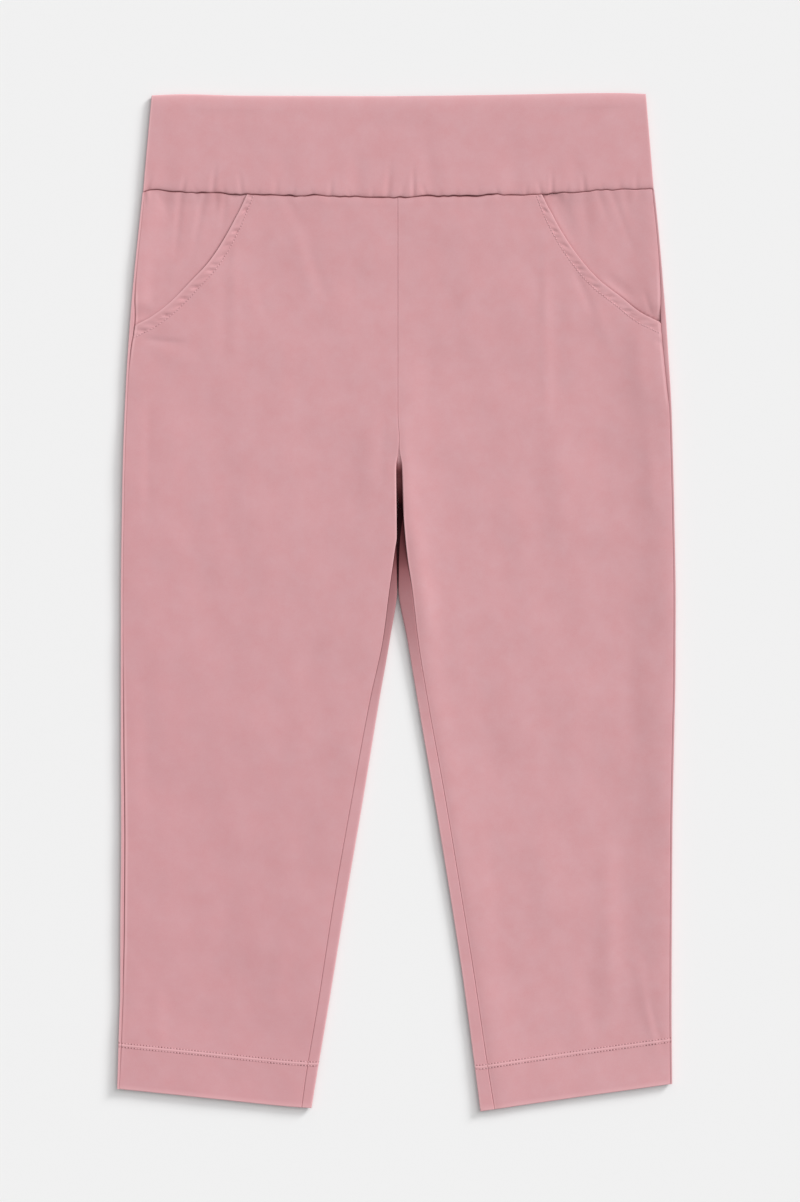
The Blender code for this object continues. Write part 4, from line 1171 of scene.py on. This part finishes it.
def new_finish(name, values):
    """A material, the tree it is made in, and its shader with the values on its sockets."""
    material = bpy.data.materials.new(name)
    material.use_nodes = True
    tree = material.node_tree
    shader = tree.nodes["Principled BSDF"]
    for socket, value in values.items():
        shader.inputs[socket].default_value = value
    return material, tree, shader


def stretch_twill(name):
    """Cotton and elastane stretch twill, piece dyed and washed: matt, with fine steep wales and a bloom."""
    material, tree, shader = new_finish(name, {
        "Roughness": 0.86, "Specular IOR Level": 0.1,
        "Sheen Weight": 0.12, "Sheen Roughness": 0.45, "Sheen Tint": rose(TWILL_BLOOM),
    })
    # The third attribute holds painted shade, and worn pale mixed with painted highlight
    place, stitch, fold = [
        add_node(tree, "ShaderNodeAttribute", attribute_name=label).outputs["Vector"]
        for label in ("cloth_mm", "stitch_mm", "painted_shade_wear_highlight")
    ]
    stitch, fold = [
        add_node(tree, "ShaderNodeSeparateXYZ", links={"Vector": known}).outputs for known in (stitch, fold)
    ]
    clouds, flecks, drawn, slack = [
        add_node(
            tree, "ShaderNodeTexNoise", {"Scale": 1 / size, "Detail": detail, "Roughness": roughness},
            {"Vector": place},
        ).outputs["Fac"] for size, detail, roughness in TWILL_NOISES
    ]

    # Dye takes a little unevenly, in clouds and in the flecks of single yarns
    uneven = add_node(
        tree, "ShaderNodeMix", {"Factor": 0.35}, {"A": clouds, "B": flecks}, data_type="FLOAT",
    )
    spread = add_node(
        tree, "ShaderNodeMapRange", {"From Min": 0.3, "From Max": 0.7}, {"Value": uneven.outputs[0]},
    )
    mottled = add_node(
        tree, "ShaderNodeMix", {"A": rose(TWILL_DEEP), "B": rose(TWILL_LIGHT)},
        {"Factor": spread.outputs[0]}, data_type="RGBA",
    )
    # The colour is a little darker towards the wearer's right leg and towards the hems
    slope = add_node(
        tree, "ShaderNodeVectorMath", {1: (-1.0, -0.5, 0.0)}, {0: place}, operation="DOT_PRODUCT",
    )
    deeper = add_node(
        tree, "ShaderNodeMapRange", {"From Min": 30, "From Max": 260, "To Max": 0.25},
        {"Value": slope.outputs["Value"]},
    )

    # Painted shade in the needle holes, one at each end of a stitch, some of them drawn tighter shut than
    # others
    hole_mm = add_node(
        tree, "ShaderNodeMath", {1: STITCH_PITCH / 2}, {0: stitch["X"]}, operation="PINGPONG",
    )
    from_hole = add_node(
        tree, "ShaderNodeMath", {}, {0: hole_mm.outputs[0], 1: stitch["Y"]}, operation="MAXIMUM",
    )
    open_by = add_node(
        tree, "ShaderNodeMapRange", {"From Min": 0.35, "From Max": 0.65, "To Min": 0.2, "To Max": 0.8},
        {"Value": drawn},
    )
    needle_hole_shade = add_node(
        tree, "ShaderNodeMapRange", {"From Min": NEEDLE_HOLE_SHADE.outer, "From Max": NEEDLE_HOLE_SHADE.inner},
        {"Value": from_hole.outputs[0], "To Max": open_by.outputs[0]},
    )

    # Folded edges are painted a little pale, worn pale mixed with painted highlight, and holes and deep
    # folds are painted with shade
    shade = add_node(
        tree, "ShaderNodeMath", {}, {0: needle_hole_shade.outputs[0], 1: fold["X"]}, operation="MAXIMUM",
    )
    deepest = add_node(
        tree, "ShaderNodeMapRange", {"From Min": 0.75, "From Max": 1.0}, {"Value": shade.outputs[0]},
    )
    colour = mottled.outputs["Result"]
    for shown, amount in (
        (TWILL_DEEPER_TONE, deeper.outputs[0]), (TWILL_WORN_AND_LIT, fold["Y"]),
        (TWILL_SHADE, shade.outputs[0]), (TWILL_DEEPEST_SHADE, deepest.outputs[0]),
    ):
        colour = add_node(
            tree, "ShaderNodeMix", {"B": rose(shown)}, {"A": colour, "Factor": amount}, data_type="RGBA",
        ).outputs["Result"]
    tree.links.new(colour, shader.inputs["Base Color"])

    # Wales climb at 63 degrees, their yarns uneven, and the surface gives a little where yarns are slack
    turned = add_node(
        tree, "ShaderNodeMapping", {"Rotation": (0, 0, math.radians(27))}, {"Vector": place},
    )
    wales = add_node(
        tree, "ShaderNodeTexWave",
        {"Scale": WAVE_UNIT / WALE_MM, "Distortion": 1.2, "Detail": 2.0, "Detail Scale": 2.0},
        {"Vector": turned.outputs["Vector"]},
    )
    weave = add_node(
        tree, "ShaderNodeBump", {"Strength": 0.6, "Distance": 0.05 * MM}, {"Height": wales.outputs["Fac"]},
    )
    surface = add_node(
        tree, "ShaderNodeBump", {"Strength": 0.5, "Distance": 0.1 * MM},
        {"Height": slack, "Normal": weave.outputs["Normal"]},
    )
    tree.links.new(surface.outputs["Normal"], shader.inputs["Normal"])
    return material


def polyester_thread(name):
    """Spun polyester sewing thread: a touch glossier than the twill, its plies twisted round each other."""
    material, tree, shader = new_finish(name, {"Roughness": 0.6, "Sheen Weight": 0.2})
    place = add_node(tree, "ShaderNodeTexCoord").outputs["Object"]
    plies = add_node(
        tree, "ShaderNodeTexWave", {"Scale": WAVE_UNIT / (PLY_MM * MM)}, {"Vector": place},
        bands_direction="DIAGONAL",
    )
    colour = add_node(
        tree, "ShaderNodeMix", {"A": rose(THREAD_DEEP), "B": rose(THREAD_LIGHT)},
        {"Factor": plies.outputs["Fac"]}, data_type="RGBA",
    )
    tree.links.new(colour.outputs["Result"], shader.inputs["Base Color"])
    twist = add_node(
        tree, "ShaderNodeBump", {"Strength": 0.5, "Distance": 0.04 * MM}, {"Height": plies.outputs["Fac"]},
    )
    tree.links.new(twist.outputs["Normal"], shader.inputs["Normal"])
    return material


def painted_floor():
    """Matt white painted board, seen as a plain pale grey."""
    return new_finish("painted_board", {
        "Base Color": [FLOOR_WHITE] * 3 + [1.0], "Roughness": 0.9, "Specular IOR Level": 0.0,
    })[0]


# Colours of the twill: two tones it is mottled between, a darker tone towards the wearer's right leg and
# the hems, worn pale mixed with painted highlight, the sheen's tint, painted shade and the darkest painted
# shade; then the thread's two tones
TWILL_DEEP = "#d49a9e"
TWILL_LIGHT = "#d6a6ab"
TWILL_DEEPER_TONE = "#c98f95"
TWILL_WORN_AND_LIT = "#eab8bc"
TWILL_BLOOM = "#e09aa2"
TWILL_SHADE = "#6a2428"
TWILL_DEEPEST_SHADE = "#22060a"
THREAD_DEEP = "#d5a1a6"
THREAD_LIGHT = "#e8bbc0"
FLOOR_WHITE = 0.9
WAVE_UNIT = math.pi / 10      # scale of a wave texture whose bands are one unit apart
WALE_MM = 0.8
PLY_MM = 0.3
# Sizes in mm: clouds of dye, flecks of single yarns, needle holes whose painted shade is drawn shut
# together, slack yarns
Noise = namedtuple("Noise", "size detail roughness")
TWILL_NOISES = table(Noise, (20, 5.0, 0.7), (1.2, 2.0, 0.5), (5, 2.0, 0.5), (6, 3.0, 0.5))
NeedleHoleShade = namedtuple("NeedleHoleShade", "inner outer")
NEEDLE_HOLE_SHADE = NeedleHoleShade(0.4, 0.65)   # painted shade of the needle holes: dark out to the one distance (mm), and gone at the other

# ---- Camera, lights and floor
CAMERA_SPOT = (3.0 * MM, 0.9 * MM, 3.0)
CAMERA_LENS = 104.48
CAMERA_SENSOR = 36.0
FLOOR_Z = -0.2            # mm, just under the cloth
FLOOR_HALF = 30000.0      # mm
# Shares of the light that reach the floor. The soft key light comes in low from the upper right.
Light = namedtuple("Light", "name share elevation azimuth angle")
LIGHTS = table(
    Light, ("key_low", 0.25, 22, 43, 18), ("key_high", 0.23, 42, 43, 44), ("overhead", 0.14, 84, 43, 50),
)
SKY_SHARE = 0.38
FLOOR_LIGHT = 0.975


def add_lights():
    """Soft suns from one side, and an even sky."""
    for light in LIGHTS:
        data = bpy.data.lights.new(light.name, "SUN")
        elevation = math.radians(light.elevation)
        data.energy = light.share * FLOOR_LIGHT * math.pi / math.sin(elevation)
        data.angle = math.radians(light.angle)
        lamp = add_object(light.name, data)
        lamp.rotation_euler = (0, math.pi / 2 - elevation, math.radians(light.azimuth))
    world = bpy.data.worlds.new("studio")
    world.use_nodes = True
    sky = world.node_tree.nodes["Background"]
    sky.inputs["Color"].default_value = (1, 1, 1, 1)
    sky.inputs["Strength"].default_value = SKY_SHARE * FLOOR_LIGHT
    bpy.context.scene.world = world


def add_camera():
    """A long lens straight above the garment."""
    data = bpy.data.cameras.new("camera")
    data.sensor_fit = "VERTICAL"
    data.sensor_height = CAMERA_SENSOR
    data.lens = CAMERA_LENS
    camera = add_object("camera", data)
    camera.location = CAMERA_SPOT
    bpy.context.scene.camera = camera
    bpy.context.scene.view_settings.view_transform = "Standard"


def add_floor():
    corners = [(x * FLOOR_HALF, y * FLOOR_HALF, FLOOR_Z) for x, y in ((-1, -1), (1, -1), (1, 1), (-1, 1))]
    floor = mesh_piece("floor", np.array(corners), [(0, 1, 2, 3)])
    floor.data.materials.append(painted_floor())


POCKET_LINES = {leg: pocket_line(leg) for leg in ("right", "left")}
FRONT_HEIGHTS = rows_of(FRONT_STRETCHES)
BACK_HEIGHTS = rows_of(BACK_STRETCHES)


def facing_heights(leg):
    corner = pocket_bottom(leg)
    return rows_of(table(Stretch, (330, 1.2), (corner, 2.0), (corner - FACING_LAP, 3.0)), edges=False)


def add_piece(piece, node, material):
    """A piece of cloth with its material, on the root body, standing in for its node, which is hidden."""
    piece.data.materials.append(material)
    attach(piece, "root")
    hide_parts(node)


def add_thread(piece, material):
    """Sewing thread that goes with the leg it is sewn on."""
    piece.data.materials.append(material)
    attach(piece, "root")


def main():
    band_twill, leg_twill, facing_twill = [
        stretch_twill(f"{part}_stretch_twill") for part in ("waistband", "leg", "pocket_facing")
    ]
    sewing = polyester_thread("polyester_sewing_thread")
    back_band = waistband("back_waistband_cloth", BACK_BAND)
    add_piece(back_band, "waistband_back", band_twill)
    for leg in ("right", "left"):
        under = thread(f"back_thread_{leg}", hem_stitches(leg, UNDER_THREAD_Z), -THREAD_DIP)
        add_thread(under, sewing)
        back = leg_piece(f"back_leg_cloth_{leg}", leg, back_section, BACK_HEIGHTS, stitched=False)
        add_piece(back, f"back_leg_{leg}", leg_twill)
        name = f"pocket_facing_cloth_{leg}"
        facing = leg_piece(name, leg, facing_section, facing_heights(leg), stitched=False)
        add_piece(facing, f"pocket_facing_{leg}", facing_twill)
        sewn = thread(f"front_thread_{leg}", [pocket_stitches(leg), *hem_stitches(leg)], THREAD_DIP)
        add_thread(sewn, sewing)
        front = leg_piece(f"front_leg_cloth_{leg}", leg, front_section, FRONT_HEIGHTS, stitched=True)
        add_piece(front, f"front_leg_{leg}", leg_twill)
    front_band = waistband("front_waistband_cloth", FRONT_BAND)
    add_piece(front_band, "waistband_front", band_twill)
    add_floor()
    add_lights()
    add_camera()


main()
